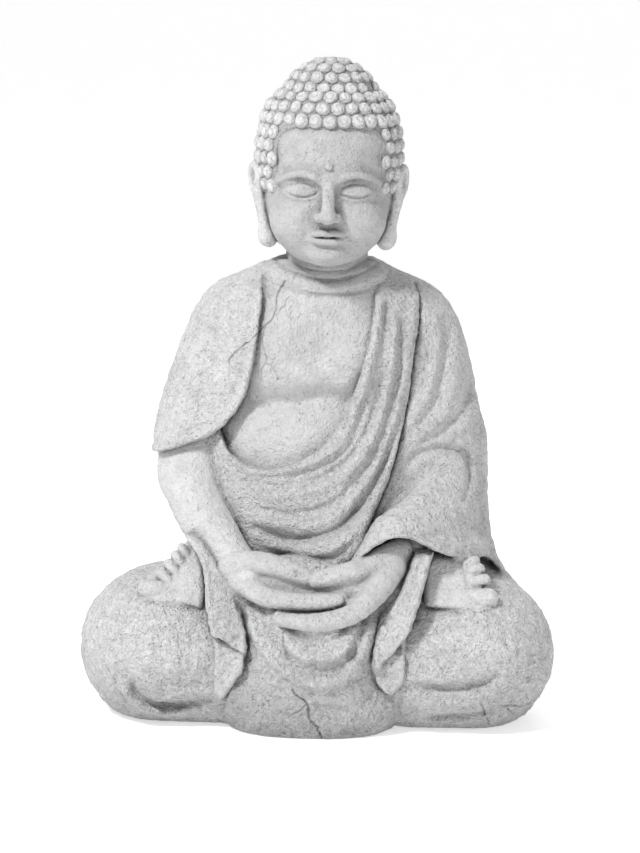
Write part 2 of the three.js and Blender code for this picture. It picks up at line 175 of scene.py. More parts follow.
class Tube:
    """A limb: rows of x, y, z and radius, or radius across and radius up."""

    def __init__(self, rows, per=3):
        rows = [list(r) if len(r) == 5 else [*r, r[3]] for r in rows]
        self.p = catmull(rows, per)
        self.round = bool(np.allclose(self.p[:, 3], self.p[:, 4]))
        r = self.p[:, 3:].max() + 4
        self.lo, self.hi = self.p[:, :3].min(0) - r, self.p[:, :3].max(0) + r

    def __call__(self, x, y, z):
        best = None
        for a, b in zip(self.p[:-1], self.p[1:]):
            e = b[:3] - a[:3]
            L2 = float(e @ e) + 1e-9
            wx, wy, wz = x - F(a[0]), y - F(a[1]), z - F(a[2])
            t = np.clip((wx * F(e[0]) + wy * F(e[1]) + wz * F(e[2])) * F(1 / L2), 0, 1)
            qx, qy, qz = wx - F(e[0]) * t, wy - F(e[1]) * t, wz - F(e[2]) * t
            if self.round:
                d = np.sqrt(qx * qx + qy * qy + qz * qz) - (F(a[3]) + F(b[3] - a[3]) * t)
            else:
                tg = e / math.sqrt(L2)
                up = np.array([0, 0, 1.0]) - tg * tg[2]
                if np.linalg.norm(up) < 0.35:
                    up = np.array([0, -1.0, 0]) + tg * tg[1]
                up /= np.linalg.norm(up)
                sd = np.cross(tg, up)
                ra = F(a[3]) + F(b[3] - a[3]) * t
                rb = F(a[4]) + F(b[4] - a[4]) * t
                rt = np.minimum(ra, rb)
                s = (qx * F(sd[0]) + qy * F(sd[1]) + qz * F(sd[2])) / ra
                u = (qx * F(up[0]) + qy * F(up[1]) + qz * F(up[2])) / rb
                w = (qx * F(tg[0]) + qy * F(tg[1]) + qz * F(tg[2])) / rt
                k0 = np.sqrt(s * s + u * u + w * w)
                k1 = np.sqrt((s / ra) ** 2 + (u / rb) ** 2 + (w / rt) ** 2) + F(1e-6)
                d = k0 * (k0 - 1) / k1
            best = d if best is None else smin(best, d, 1.0)
        return best


def line_distance(u, v, pts):
    best = None
    for a, b in zip(pts[:-1], pts[1:]):
        ex, ey = b[0] - a[0], b[1] - a[1]
        wx, wy = u - a[0], v - a[1]
        t = np.clip((wx * ex + wy * ey) / (ex * ex + ey * ey + 1e-9), 0, 1)
        d = (wx - ex * t) ** 2 + (wy - ey * t) ** 2
        best = d if best is None else np.minimum(best, d)
    return np.sqrt(best)


def area_distance(u, v, pts):
    """Distance to the edge of an outline, negative inside it."""
    best = line_distance(u, v, list(pts) + [pts[0]])
    inside = np.zeros(u.shape, bool)
    for a, b in zip(pts, list(pts[1:]) + [pts[0]]):
        cross = (a[1] > v) != (b[1] > v)
        with np.errstate(divide="ignore", invalid="ignore"):
            at = (b[0] - a[0]) * (v - a[1]) / (b[1] - a[1] + 1e-12) + a[0]
        inside ^= cross & (u < at)
    return np.where(inside, -best, best)


class Chart:
    """A quantity that depends only on x and z, worked out once on a grid and read back smoothly."""

    x0, z0, step, nx, nz = -195.0, -12.0, 0.8, 488, 465

    def __init__(self, make):
        gx, gz = np.meshgrid(
            self.x0 + self.step * np.arange(self.nx),
            self.z0 + self.step * np.arange(self.nz),
            indexing="ij",
        )
        self.v = np.ascontiguousarray(make(gx, gz), F)

    def __call__(self, x, z):
        a = np.clip((x - F(self.x0)) * F(1 / self.step), 0, self.nx - 1.001)
        b = np.clip((z - F(self.z0)) * F(1 / self.step), 0, self.nz - 1.001)
        i, j = a.astype(np.int32), b.astype(np.int32)
        u, w = a - i, b - j
        v = self.v
        return (v[i, j] * (1 - u) + v[i + 1, j] * u) * (1 - w) + (
            v[i, j + 1] * (1 - u) + v[i + 1, j + 1] * u
        ) * w


def folds(x, z, lines):
    """Sum of ridges (positive) and furrows (negative): each is points, height, width, and optionally the taper at its ends."""
    total = np.zeros(x.shape)
    for pts, height, width, *rest in lines:
        p = catmull(pts, 4)
        d = line_distance(x, z, p)
        amp = height
        if rest:
            # fades towards its two ends
            ends = np.minimum(
                np.hypot(x - p[0][0], z - p[0][1]), np.hypot(x - p[-1][0], z - p[-1][1])
            )
            amp = height * np.clip(ends / rest[0], 0, 1)
        total = total + amp * np.exp(-((d / width) ** 2))
    return total


rng = np.random.default_rng(7)
LATTICE = rng.random((48, 48, 48)).astype(F)


def noise(x, y, z, size, shift=0.0):
    """Smooth value noise of the given cell size, -1 to 1."""
    out = 0
    q = []
    for v, o in ((x, 11.3), (y, 27.1), (z, 5.7)):
        t = v * F(1 / size) + F(o + shift)
        i = np.floor(t)
        f = t - i
        q.append((i.astype(np.int32) % 48, f * f * (3 - 2 * f)))
    (i, u), (j, v), (k, w) = q
    i1, j1, k1 = (i + 1) % 48, (j + 1) % 48, (k + 1) % 48
    L = LATTICE
    out = (
        ((L[i, j, k] * (1 - u) + L[i1, j, k] * u) * (1 - v) + (L[i, j1, k] * (1 - u) + L[i1, j1, k] * u) * v)
        * (1 - w)
        + ((L[i, j, k1] * (1 - u) + L[i1, j, k1] * u) * (1 - v) + (L[i, j1, k1] * (1 - u) + L[i1, j1, k1] * u) * v)
        * w
    )
    return out * 2 - 1


# ------------------------------------------------------------------ measured sections, in millimetres
SEAT = Stack(
    [
        [-8, 0, 30, 104, 54, 78, 2.5],
        [0, 0, 30, 109, 56, 82, 2.5],
        [14, 0, 30, 116, 58, 86, 2.5],
        [48, 0, 30, 121, 58, 86, 2.4],
        [88, 0, 32, 119, 56, 81, 2.3],
        [120, 0, 34, 118, 54, 76, 2.3],
        [140, 0, 35, 112, 50, 70, 2.2],
    ],
    8,
)
TORSO = Stack(
    [
        [112, 0, 34, 94, 70, 50, 2.2],
        [130, 0, 34, 93, 76, 50, 2.2],
        [150, 0, 34, 92, 79, 50, 2.2],
        [176, 0, 34, 90, 77, 50, 2.2],
        [200, -1, 34, 88, 71, 50, 2.2],
        [216, -2, 34, 88, 66, 50, 2.2],
        [236, -2, 34, 90, 61.5, 50, 2.2],
        [252, -2, 34, 93, 62, 50, 2.2],
        [272, -2, 34, 95, 63.5, 50, 2.2],
        [292, -2, 33, 90, 60, 48, 2.15],
        [308, -2, 31, 79, 53, 44, 2.05],
        [320, -2, 28, 76, 46.5, 42, 2.0],
        [329, -1.5, 26, 65, 41.5, 40, 2.0],
        [336, -1, 24, 53, 36.3, 36, 2.0],
        [342, -1, 22.5, 41, 31, 32, 2.0],
    ],
    5,
)
ROBE = Stack(
    [
        [112, 0, 35, 128, 56, 77, 2.4],
        [150, 0, 35, 129.5, 60, 76, 2.4],
        [182, 0, 35, 130, 64, 74, 2.4],
        [209, 0, 35, 128.5, 67, 72, 2.4],
        [237, 0, 35, 121, 68, 71, 2.35],
        [265, 0, 35, 114.5, 68, 69, 2.3],
        [290, 0, 34, 107.5, 64, 65.5, 2.2],
        [307, 0, 32.5, 100, 57, 60.5, 2.15],
        [317, 0, 31, 93, 51, 56, 2.1],
        [325, 0, 29, 84, 46, 51.5, 2.05],
        [332, 0, 26.5, 70, 41, 47, 2.0],
        [338, 0, 24, 56, 36.5, 43, 2.0],
        [344, 0, 22.5, 44, 32.5, 38, 2.0],
        [348, 0, 22, 38, 30, 34, 2.0],
    ],
    5,
)
APRON = Stack(
    [
        [-8, -5, -62, 52, 44, 46, 2.3],
        [0, -5, -62, 61, 49, 46, 2.35],
        [6, -5.5, -62, 66.5, 51.5, 46, 2.4],
        [16, -6, -62, 69.5, 53.5, 46, 2.45],
        [30, -6, -62, 70, 53.5, 46, 2.4],
        [50, -5, -61, 66.5, 51.5, 46, 2.3],
        [76, -3, -58, 61, 44, 44, 2.2],
        [98, -1, -50, 57, 41, 38, 2.2],
        [114, 0, -41, 50, 38, 30, 2.0],
    ],
    7,
)

# Edges of the cloth layers seen from the front, x and z
RIGHT_HEM = [(-45, 356), (-46.7, 342), (-48.2, 316), (-52.7, 277), (-57.5, 250.5), (-66.5, 231), (-82, 214), (-105, 204.5), (-127, 196.5), (-146, 192)]
SASH_EDGE = [(37.5, 356), (38.3, 348), (37.8, 320), (34, 290), (26, 256), (13, 225.5), (-3, 206), (-24, 194), (-45, 189.5), (-68, 197.5), (-80, 216), (-96, 240)]
LINE_2 = [(60, 356), (70.5, 322), (70.4, 296.4), (68.5, 285), (66.7, 269), (64.7, 247.6), (62.5, 235), (59.2, 218), (54.8, 199), (50.3, 184), (44.7, 170), (31.8, 142), (19.5, 121)]
LEFT_HEM = [(19.2, 121.5), (25, 126), (33, 134.2), (42, 142), (54, 147.6), (66, 147.3), (79, 141), (96.4, 131), (111.5, 127.5), (126, 124), (137, 114), (147, 101)]

right_area = Chart(lambda x, z: area_distance(x, z, catmull(RIGHT_HEM, 3).tolist() + [[-260, 190], [-260, 356]]))
left_area = Chart(
    lambda x, z: area_distance(
        x, z, catmull(LINE_2, 3).tolist()[:-1] + catmull(LEFT_HEM, 3).tolist() + [[260, 108], [260, 356]]
    )
)
sash_area = Chart(
    lambda x, z: area_distance(
        x,
        z,
        catmull(SASH_EDGE, 3).tolist()[:-1]
        + [[-96, 118], [16, 118]]
        + catmull(LINE_2, 3).tolist()[::-1],
    )
)
RIGHT_END_UPPER = (
    catmull([(-104, 146), (-94.5, 135), (-88.6, 127.2), (-85.9, 119.3), (-83.9, 109.8), (-82.7, 97), (-80.2, 83), (-78, 75.2)], 3).tolist()
    + [[-70.6, 71.6], [-59.5, 64.0], [-54, 62.5]]
    + catmull([(-53.6, 66), (-54.2, 73.9), (-56.7, 83.4), (-60, 92.9), (-63.4, 105.6), (-69.8, 114.9), (-77.8, 124.3), (-89, 138)], 3).tolist()
)
RIGHT_END_LOWER = catmull([(-77, 84), (-76, 66), (-75.6, 52.2), (-75, 39), (-73.2, 30), (-68.6, 28.8), (-62.8, 37.6), (-55, 51), (-53.4, 62.7), (-56, 80)], 3).tolist()
LEFT_END_UPPER = (
    catmull([(84, 134), (77.5, 112), (74, 98), (70.3, 86.6), (64.4, 75.0)], 3).tolist()
    + [[61, 70], [50.5, 60.5], [44.2, 51.5]]
    + catmull([(43.0, 56), (43.3, 68.4), (45.8, 81.6), (49.8, 91), (58, 101), (66, 118), (72, 134)], 3).tolist()
)
LEFT_END_LOWER = catmull([(46, 80), (42.6, 60), (42.3, 50), (47.5, 38.5), (55.7, 33.6), (63, 42), (64.9, 56.2), (64.6, 76)], 3).tolist()
right_end_upper = Chart(lambda x, z: area_distance(x, z, RIGHT_END_UPPER))
right_end_lower = Chart(lambda x, z: area_distance(x, z, RIGHT_END_LOWER))
left_end = Chart(lambda x, z: area_distance(x, z, LEFT_END_UPPER))
left_end_lower = Chart(lambda x, z: area_distance(x, z, LEFT_END_LOWER))
# outlines of the two soles
RIGHT_SOLE = [(77.9, 121), (78.4, 111.2), (79.3, 97.5), (84, 94.2), (101.5, 93.2), (118.1, 92.8), (126, 94), (126, 104), (121, 112), (118, 119), (115, 126.4), (100.4, 129.3), (86.7, 128.3), (81.5, 124.6)]
LEFT_SOLE = [(-130, 96), (-125.8, 94.2), (-109.9, 93), (-94.1, 91), (-86.9, 90), (-84.5, 101.7), (-87.0, 117.7), (-89.9, 125.7), (-94.8, 131), (-100, 132), (-107, 124.5), (-113, 117), (-120, 111), (-129, 107)]
right_sole = Chart(lambda x, z: area_distance(x, z, catmull(RIGHT_SOLE, 2).tolist()))
left_sole = Chart(lambda x, z: area_distance(x, z, catmull(LEFT_SOLE, 2).tolist()))
# upper layer of the cloth over the ankles, ending in a deep swag
SWAG = catmull([(-60, 108), (-58.5, 97), (-54.6, 86.1), (-50.2, 75.4), (-39.2, 59.3), (-26.2, 48.8), (-13.2, 40.4), (6, 38.2), (25, 45.7), (35.4, 56.9), (41.3, 73.3), (43.5, 86.4), (44, 108)], 3).tolist()
swag_area = Chart(lambda x, z: area_distance(x, z, SWAG))

sleeve_folds = Chart(
    lambda x, z: folds(
        x,
        z,
        [
            # left sleeve: folds fan from the crook of the elbow up to the shoulder
            ([(62.8, 212.7), (77.5, 232.3), (85.4, 247), (92, 277.7), (93.5, 305)], -2.6, 3.6, 25),
            ([(68, 219), (80, 246), (85, 280), (84, 318)], 1.6, 4.0, 25),
            ([(65.3, 205.1), (81.8, 213.2), (95.9, 223.5), (109.1, 240), (114, 268)], -2.6, 3.6, 25),
            ([(74, 214), (90, 228), (99, 246), (103, 280), (100, 312)], 2.0, 4.6, 30),
            ([(96, 214), (112, 226), (120, 244), (119, 262)], 1.6, 4.0, 18),
            ([(75, 300), (74, 270), (71, 240), (66, 215)], 1.2, 3.0, 20),
            ([(120, 206), (124, 226), (121, 246)], -1.4, 3.0, 15),
            # the cloth tucked round the elbow
            ([(56, 178), (59.7, 185.1), (65.1, 193.7), (71.9, 200.2), (78.7, 203.9), (89.8, 205.9), (99.6, 205.2), (106.7, 201.8), (111.7, 196.3), (113.4, 187.9), (112.3, 177.9), (109.1, 170.8), (101, 164)], -3.4, 2.8, 22),
            ([(62, 180), (70, 191), (80, 197.5), (92, 199), (102, 195), (107, 186), (105, 176)], 2.0, 4.5, 12),
            ([(62, 158), (70, 150), (84, 146), (98, 150)], -1.2, 4.0, 12),
            ([(118, 176), (122, 158), (126, 140)], -1.8, 3.4, 14),
            ([(36, 150), (52, 157), (70, 156)], 1.2, 4.0, 14),
            # right sleeve: long soft folds
            ([(-66, 325), (-70, 290), (-76, 255), (-88, 222)], 1.5, 4.2, 30),
            ([(-76, 322), (-83, 285), (-88, 250), (-100, 214)], -1.5, 3.6, 30),
            ([(-88, 312), (-96, 275), (-101, 240), (-112, 208)], 1.5, 4.4, 30),
            ([(-58, 300), (-62, 262), (-72, 236)], -1.2, 3.2, 24),
            ([(-101, 285), (-109, 250), (-118, 206)], -1.2, 3.6, 26),
            ([(-54.5, 290), (-60, 255), (-70, 236), (-84, 219), (-105, 209)], 1.3, 3.0, 24),
        ],
    )
)
sash_folds = Chart(
    lambda x, z: folds(
        x,
        z,
        [
            # rolled edge over the chest
            ([(38, 352), (41, 322.3), (38, 291), (32, 259.6), (26.8, 242.9), (17, 216.8), (6, 205), (-11, 195.6), (-27, 190.6), (-41, 187.5), (-56, 189), (-70, 196)], 2.1, 2.6),
            ([(45, 345), (46.5, 322), (44, 291), (38, 259), (32, 240), (22, 213), (9, 200), (-11, 189.5), (-30, 185), (-50, 184)], -1.8, 2.2, 30),
            # swags across the belly
            ([(-68, 180), (-52, 179), (-36.4, 178), (-6.4, 183), (18.8, 199), (35.4, 226), (43, 258), (47, 292), (48, 320)], -2.4, 3.0, 18),
            ([(-60, 172), (-36, 171), (-6, 176), (20, 190), (38, 216), (48, 250), (52, 285), (53, 315)], 1.9, 3.6, 20),
            ([(-58, 162.5), (-40, 159), (-20.7, 157.7), (9.2, 167), (29, 187.4), (44, 214), (54, 250), (57.5, 284), (58, 312)], -2.6, 3.2, 18),
            ([(-50, 152), (-30, 149.5), (-8, 151), (12, 160), (31, 179), (46, 204), (57, 238), (62, 270)], 2.0, 3.6, 20),
            ([(-56, 149), (-49, 145.5), (-38.5, 142), (-21, 139), (1.8, 144.5), (20, 154.5), (35.3, 174), (49, 201), (58.6, 232), (64, 262)], -4.2, 3.0, 14),
            ([(-48, 137), (-30, 132), (-9.5, 130), (8, 135), (24, 147), (38, 164)], 2.0, 3.8, 14),
            ([(-45, 130), (-28, 125), (-9.5, 123.5), (12.9, 131), (27, 143)], -2.2, 3.0, 12),
            # its outer edge stands over the sleeve
            ([(66, 322), (66.5, 296), (64.5, 283), (62.7, 269), (60.8, 247.6), (58.6, 235), (55.4, 218), (51, 199), (46.4, 184), (40.8, 170), (28, 143)], 1.7, 2.8, 16),
        ],
    )
)
line_2_gap = Chart(lambda x, z: line_distance(x, z, catmull(LINE_2[1:], 3).tolist()))
apron_folds = Chart(
    lambda x, z: folds(
        x,
        z,
        [
            ([(-54, 104), (-50, 86), (-44.5, 73), (-35, 60.5), (-23.5, 52), (-12, 45), (6, 43), (22, 49.5), (31, 60), (36.5, 76), (38, 92)], 1.5, 3.4, 14),
            ([(-68, 84), (-57, 56), (-44, 34), (-20, 24), (8, 21.5), (36, 27), (52, 44)], -2.0, 7.0, 18),
            ([(-42, 96), (-33, 76), (-22, 62), (-8, 54), (8, 52.5), (22, 59), (30, 76), (33, 96)], -2.0, 3.2, 16),
            ([(-34, 94), (-26, 80), (-13, 66), (8, 62.5), (22, 70), (27, 88)], 1.7, 3.4, 14),
            ([(-24, 94), (-14, 78), (4, 72.5), (16, 79), (20, 94)], -1.5, 3.0, 12),
            ([(-14, 95), (-2, 85), (14, 88)], 1.0, 3.6, 8),
            ([(-60, 8), (-64, 26), (-66, 46)], 1.6, 4.0, 10),
            ([(50, 8), (58, 24), (60, 42)], 1.6, 4.0, 10),
        ],
    )
)
knee_folds = Chart(
    lambda x, z: folds(
        x,
        z,
        [
            ([(-146, 46), (-139.3, 40), (-134.6, 29.2), (-122.4, 19.5), (-106.6, 17.6), (-88, 21), (-74, 27)], -2.6, 3.6, 16),
            ([(-150, 40), (-141, 27), (-126, 13), (-106, 10), (-86, 14)], 1.6, 4.0, 16),
            ([(-128, 60), (-122, 46), (-110, 37), (-94, 35), (-78, 40)], -1.1, 4.5, 16),
            ([(-112, 76), (-108, 62), (-96, 52), (-80, 54)], 0.9, 5.0, 14),
            ([(62, 42), (67.8, 41.2), (84, 38.6), (98.7, 38.4), (121.8, 43.3), (140, 52)], -2.2, 3.4, 18),
            ([(66, 50), (84, 46.4), (99, 46.4), (124, 52)], 1.3, 4.0, 18),
            ([(72, 15), (82.1, 13.9), (102, 14), (122.6, 18.7), (142, 27)], -1.8, 3.4, 18),
            ([(66, 26), (90, 23), (118, 26), (140, 36)], 1.2, 5.0, 18),
        ],
    )
)
back_folds = Chart(
    lambda x, z: folds(
        x,
        z,
        [
            ([(-34, 330), (-40, 270), (-60, 190), (-84, 120), (-96, 40)], 2.4, 7, 40),
            ([(-14, 334), (-16, 270), (-26, 190), (-40, 110), (-48, 30)], -2.0, 6, 40),
            ([(6, 336), (4, 270), (4, 190), (2, 110), (2, 20)], 2.2, 7, 40),
            ([(24, 334), (26, 270), (34, 190), (48, 110), (54, 30)], -2.0, 6, 40),
            ([(40, 326), (50, 262), (68, 186), (88, 116), (98, 40)], 2.4, 7, 40),
            ([(62, 316), (78, 250), (98, 180), (112, 120)], -1.6, 6, 34),
            ([(-58, 318), (-76, 250), (-96, 180), (-112, 120)], -1.6, 6, 34),
            ([(-78, 306), (-98, 240), (-116, 170)], 1.4, 6, 30),
            ([(80, 306), (100, 240), (118, 170)], 1.4, 6, 30),
        ],
    )
)

# limbs
RIGHT_ARM = Tube([[-100, 18, 232, 21, 22], [-101.5, 9, 198, 23, 23], [-98.5, -6, 172, 22.5, 22.5], [-88, -28, 150, 20.5, 20], [-74, -51, 133, 17.5, 16.5], [-60, -68, 121, 15.5, 13.5], [-50, -78, 115, 15, 12]])
LEFT_ARM = Tube([[88, -22, 148, 16, 15], [72, -45, 139, 13, 12], [59, -59, 129, 12.5, 12], [48, -76, 119, 13.5, 11]])
LEFT_FORE = Tube([[98, 6, 164, 30, 32], [89, -26, 158, 27, 26], [69, -54, 151, 23, 19], [47, -68.5, 144.5, 19, 14], [26, -73.5, 130.5, 14, 11]])
LEFT_SKIRT = Tube([[116, 2, 132, 16, 16], [104, -30, 133, 22, 14], [80, -54, 139, 20, 11], [57, -71, 141, 16, 9.5]])

HAND_R = {
    "index": Tube([[-58, -80, 113, 9], [-42, -92, 104, 7.6], [-22, -98.5, 101.2, 6.6], [0, -100.5, 101, 6.1], [14, -99.5, 102.6, 4.9]]),
    "middle": Tube([[-50, -78, 107, 8], [-34, -88, 102, 7], [-18, -91, 100.4, 6.4], [2, -92.5, 100.4, 6.1], [17, -91.5, 102, 4.9]]),
    "ring": Tube([[-46, -72, 106, 8], [-30, -79, 102, 6.6], [-14, -83, 100.6, 6.2], [3, -84, 100.6, 5.8], [14, -83.5, 102, 4.8]]),
    "little": Tube([[-44, -66, 106, 7], [-28, -72, 103, 6], [-12, -76, 102, 5.4], [2, -77, 102, 4.8]]),
    "thumb": Tube([[-66, -74, 121, 10.5], [-52, -81, 125.5, 9.2], [-38, -86, 126, 8.0], [-24, -88.5, 122.6, 7.4], [-10.5, -89.5, 118, 6.2]]),
}
HAND_L = {
    "index": Tube([[56, -75, 122, 8.6], [43, -92, 107, 8], [24, -103.5, 93, 7.4], [-2, -108, 87.6, 6.7], [-26, -107.5, 88.6, 5.0]]),
    "middle": Tube([[52, -75, 119, 8.6], [39, -86, 104, 7.6], [20, -94.5, 93.5, 7], [-4, -97.5, 88.4, 6.3], [-28, -96.5, 89.6, 5.0]]),
    "ring": Tube([[54, -70, 116, 8.5], [36, -80, 102, 7], [17, -86.5, 93.4, 6.6], [-5, -89, 89, 6], [-25, -88, 90, 4.9]]),
    "little": Tube([[48, -66, 112, 7], [32, -74, 100, 6], [14, -79, 93, 5.6], [-8, -81, 90, 4.8]]),
    "thumb": Tube([[61, -63, 134.5, 9.6], [46.5, -75.5, 130.4, 8.8], [31, -84, 123.8, 8.2], [15, -87.5, 119.4, 7.5], [-2.5, -89.5, 115.6, 6.3]]),
}
RIBBON = Tube([[-93, -60, 136, 12, 12], [-83, -71, 118, 13.5, 12], [-73.5, -81.5, 98, 16, 10], [-67, -92, 74, 17, 10]])
RIBBON_L = Tube([[77, -64, 132, 11, 12], [67.5, -78, 108, 14, 12], [58.5, -88, 84, 16, 10], [54, -96, 60, 15, 10]])

# feet, soles up on the thighs: the left foot lies on the figure's right
def sole_y(z):
    """How far forward the sloping soles stand at a height."""
    return -79.5 + (z - 93) * 0.73


def toe(x0, z0, x1, z1, r, rise=0.35):
    x0, z0 = x0 + (x1 - x0) * 0.3, z0 + (z1 - z0) * 0.3
    return Tube([[x0, sole_y(z0) + r * rise + 1.5, z0, r * 0.92], [(x0 + x1) / 2, sole_y((z0 + z1) / 2) + r * rise, (z0 + z1) / 2, r * 0.96], [x1, sole_y(z1) + r * rise, z1, r]], 2)


LEFT_TOES = [
    toe(-112, 100.5, -128.5, 102.2, 6.9),
    toe(-109, 104, -118.4, 112.1, 4.3),
    toe(-105, 110, -113.4, 118.9, 4.1),
    toe(-101.5, 116, -108.8, 125.1, 3.8),
    toe(-98, 122, -104.2, 130.6, 3.5),
]
RIGHT_TOES = [
    toe(112, 100.6, 127.2, 101.4, 7.5),
    toe(113, 111.2, 124.0, 113.4, 4.9),
    toe(111, 118.2, 120.4, 120.8, 4.4),
    toe(108, 123.2, 117.2, 126.2, 3.9),
    toe(101, 127, 109.5, 130, 3.5),
]


# ------------------------------------------------------------------ the sections of the body
UNDER_BREAST = catmull([(-72, 254), (-58, 243), (-40, 238), (-20, 240), (0, 245), (16, 241)], 3)


def f_torso(x, y, z):
    d = TORSO(x, y, z)
    for s in (-1, 1):
        d = smin(d, ell(x, y, z, (s * 30 - 3, -9, 279), (27, 21.5, 23)), 14)
    d = smin(d, ell(x, y, z, (-4, 0, 213), (56, 36.5, 20)), 16)
    # breastbone furrow and the roll of the neck
    d = d + F(1.1) * bell(x + 3, 5) * bell(z - 280, 22) * (y < 10)
    # flesh between neck and shoulder
    d = smin(d, ell(np.abs(x + 1), y, z, (33, 11, 331), (15.5, 21, 13.5)), 10)
    # two creases and the roll between them at the root of the neck
    q = x * x
    root = ramp(-y, -16, -6) * bell(x, 44)
    d = d + (F(1.9) * bell(z - F(331.5) - q * F(0.0085), 1.5) + F(1.7) * bell(z - F(321) - q * F(0.0045), 1.4) - F(1.5) * bell(z - F(326.2) - q * F(0.0065), 3.0)) * root
    # hollow below the breasts
    return d + (F(5.0) * bell(line_distance(x, z, UNDER_BREAST), 7.0) - F(3.2) * bell(line_distance(x, z - F(17), UNDER_BREAST), 10.0)) * ramp(-y, -8, 6)


def hips(x, y, z):
    d = SEAT(x * (1 + F(0.20) * ramp(-z, -190, -134) * ramp(z, 72, 116) * (x < 0)), y, z)
    return d - back_folds(x, z) * ramp(y, 40, 80)


def leg(side):
    def field(x, y, z):
        d = ell(x, y, z, (side * 119, -22, 50), (62, 82, 60.5))
        d = smin(d, ell(x, y, z, (side * 98, 22, 50), (72, 62, 56)), 14)
        d = smin(d, ell(x, y, z, (side * 76, -47, 43), (60, 53, 48)), 14)
        # thigh under the foot
        d = smin(d, ell(x, y, z, (side * 92, -28, 74), (48, 46, 36)), 12)
        if side > 0:
            d = smin(d, ell(x, y, z, (116, 8, 86), (36, 38, 34)), 10)
            d = smin(d, ell(x, y, z, (94, -25, 118), (29, 17, 17)), 8)
        return d - knee_folds(x, z) * F(1.9) * ramp(-y, 0, 30)

    return field


leg_r, leg_l = leg(-1), leg(1)


def f_apron(x, y, z):
    d = APRON(x, y, z)
    d = smin(d, ell(x, y, z, (-2, -62, 72), (52, 41, 25)), 18)
    # cloth gathered up behind the hands
    d = smin(d, ell(x, y, z, (-4, -56, 108), (60, 32.5, 20)), 10)
    d = smin(d, ell(x, y, z, (59, -62, 100), (15, 22, 22)), 8)
    d = smin(d, ell(x, y, z, (-64, -62, 102), (15, 22, 22)), 8)
    front = ramp(-y, 62, 84)
    wave = noise(x, y, z, 17.0) * F(0.9)
    layer = F(3.6) * ramp(-swag_area(x, z), -3.5, 3.0) * ramp(-z, -92, -78)
    return d - (apron_folds(x, z) * F(1.7) + wave + layer) * front


def lap(x, y, z):
    """The surface that the robe's ends lie on."""
    d = smin(leg_r(x, y, z), leg_l(x, y, z), 6)
    return smin(d, APRON(x, y, z), 10)


def f_right_end(x, y, z):
    base = lap(x, y, z)
    e, g = right_end_upper(x, z) - F(0.9), right_end_lower(x, z) - F(0.6)
    up = np.minimum(base - F(7.2), RIBBON(x, y, z) + F(1.5))
    up = smax(up - F(1.2) * bell(e + F(2.6), 2.2) + F(1.2) * bell(e + F(9), 4.5), e, 3.2)
    down = smax(base - F(3.8) - F(1.1) * bell(g + F(2.6), 2.2), g, 3.0)
    d = smin(up, down, 0.8)
    return smax(d, y + F(34), 4)


def f_left_end(x, y, z):
    base = lap(x, y, z)
    e, g = left_end(x, z) - F(1.2), left_end_lower(x, z) - F(0.6)
    up = np.minimum(base - F(7.2), RIBBON_L(x, y, z) + F(1.5))
    up = smax(up - F(1.2) * bell(e + F(2.6), 2.2) + F(1.2) * bell(e + F(9), 4.5), e, 3.2)
    down = smax(base - F(3.8) - F(1.1) * bell(g + F(2.6), 2.2), g, 3.0)
    d = smin(up, down, 0.8)
    return smax(d, y + F(34), 4)


def outer(x, y, z):
    front = ramp(-y, -34, -4)
    # below the right sleeve the mantle draws in behind the bare forearm
    x = x * (1 + F(0.26) * ramp(-z, -198, -134) * (x < 0))
    return ROBE(x, y, z) - sleeve_folds(x, z) * front - back_folds(x, z) * ramp(y, 46, 84)


def f_robe_back(x, y, z):
    d = outer(x, y, z)
    # lower hem of the mantle hangs a little over the seat
    d = smax(d, F(121) - z + F(2.0) * noise(x, y * 0, z * 0, 31.0), 5)
    return smax(d, F(12) - y, 2) + F(0.002) * (24 - y)


SLEEVE_ARM = Tube([[-90, 22, 268, 20], [-98, 19, 236, 25], [-101.5, 10, 208, 27.6], [-101.5, 3, 186, 29]])
FLARE = Tube([[108, 18, 172, 15], [112.5, 10, 150, 14], [115.5, 2, 134, 12.8], [120.5, -5, 126, 11.5], [127.5, -8, 119.5, 9.8], [134.5, -8, 109, 9.4]])


def f_right_sleeve(x, y, z):
    front = ramp(-y, -34, -4)
    pleats = sleeve_folds(x, z) * front
    d = outer(x, y, z)
    d = smin(d, SLEEVE_ARM(x, y, z) - pleats, 12)
    # it lies on the chest and stands clear of it by its own thickness
    d = smin(d, f_torso(x, y, z) - F(6.2) - pleats, 5)
    e = right_area(x, z)
    d = d - (F(1.1) * bell(e + F(2.4), 1.9) - F(0.9) * bell(e + F(7.0), 2.2)) * front
    d = smax(d, e, 2.0)
    d = smax(d, ROBE(x, y, z) - F(1.6) - F(110) * ramp(-z, -326, -270), 4)
    return smax(d, y - F(36), 2)


def f_left_sleeve(x, y, z):
    d = outer(x, y, z)
    front = ramp(-y, -34, -4)
    d = smin(d, f_torso_plain(x, y, z) - F(5.0), 8)
    bulge = ell(x, y, z, (89, 0, 161), (31, 29.5, 45))
    fore = smin(LEFT_FORE(x, y, z), LEFT_SKIRT(x, y, z), 16)
    arm = smin(smin(bulge, fore, 12), FLARE(x, y, z), 12)
    d = smin(d, arm - sleeve_folds(x, z) * front * F(0.9), 7)
    # the sash's edge stands over the sleeve along this line
    d = d + (F(1.2) + F(1.8) * ramp(-z, -300, -210)) * bell(line_2_gap(x, z), 3.2) * front
    e = left_area(x, z)
    low = ramp(-z, -168, -148)
    d = d - (F(1.3) * bell(e + F(2.2), 1.8) - F(0.8) * bell(e + F(6.5), 2.2)) * front * low
    d = smax(d, e, 3.2)
    d = smax(d, ROBE(x, y, z) - F(1.2) - F(110) * ramp(-z, -326, -270), 4)
    return smax(d, y - F(36), 2)


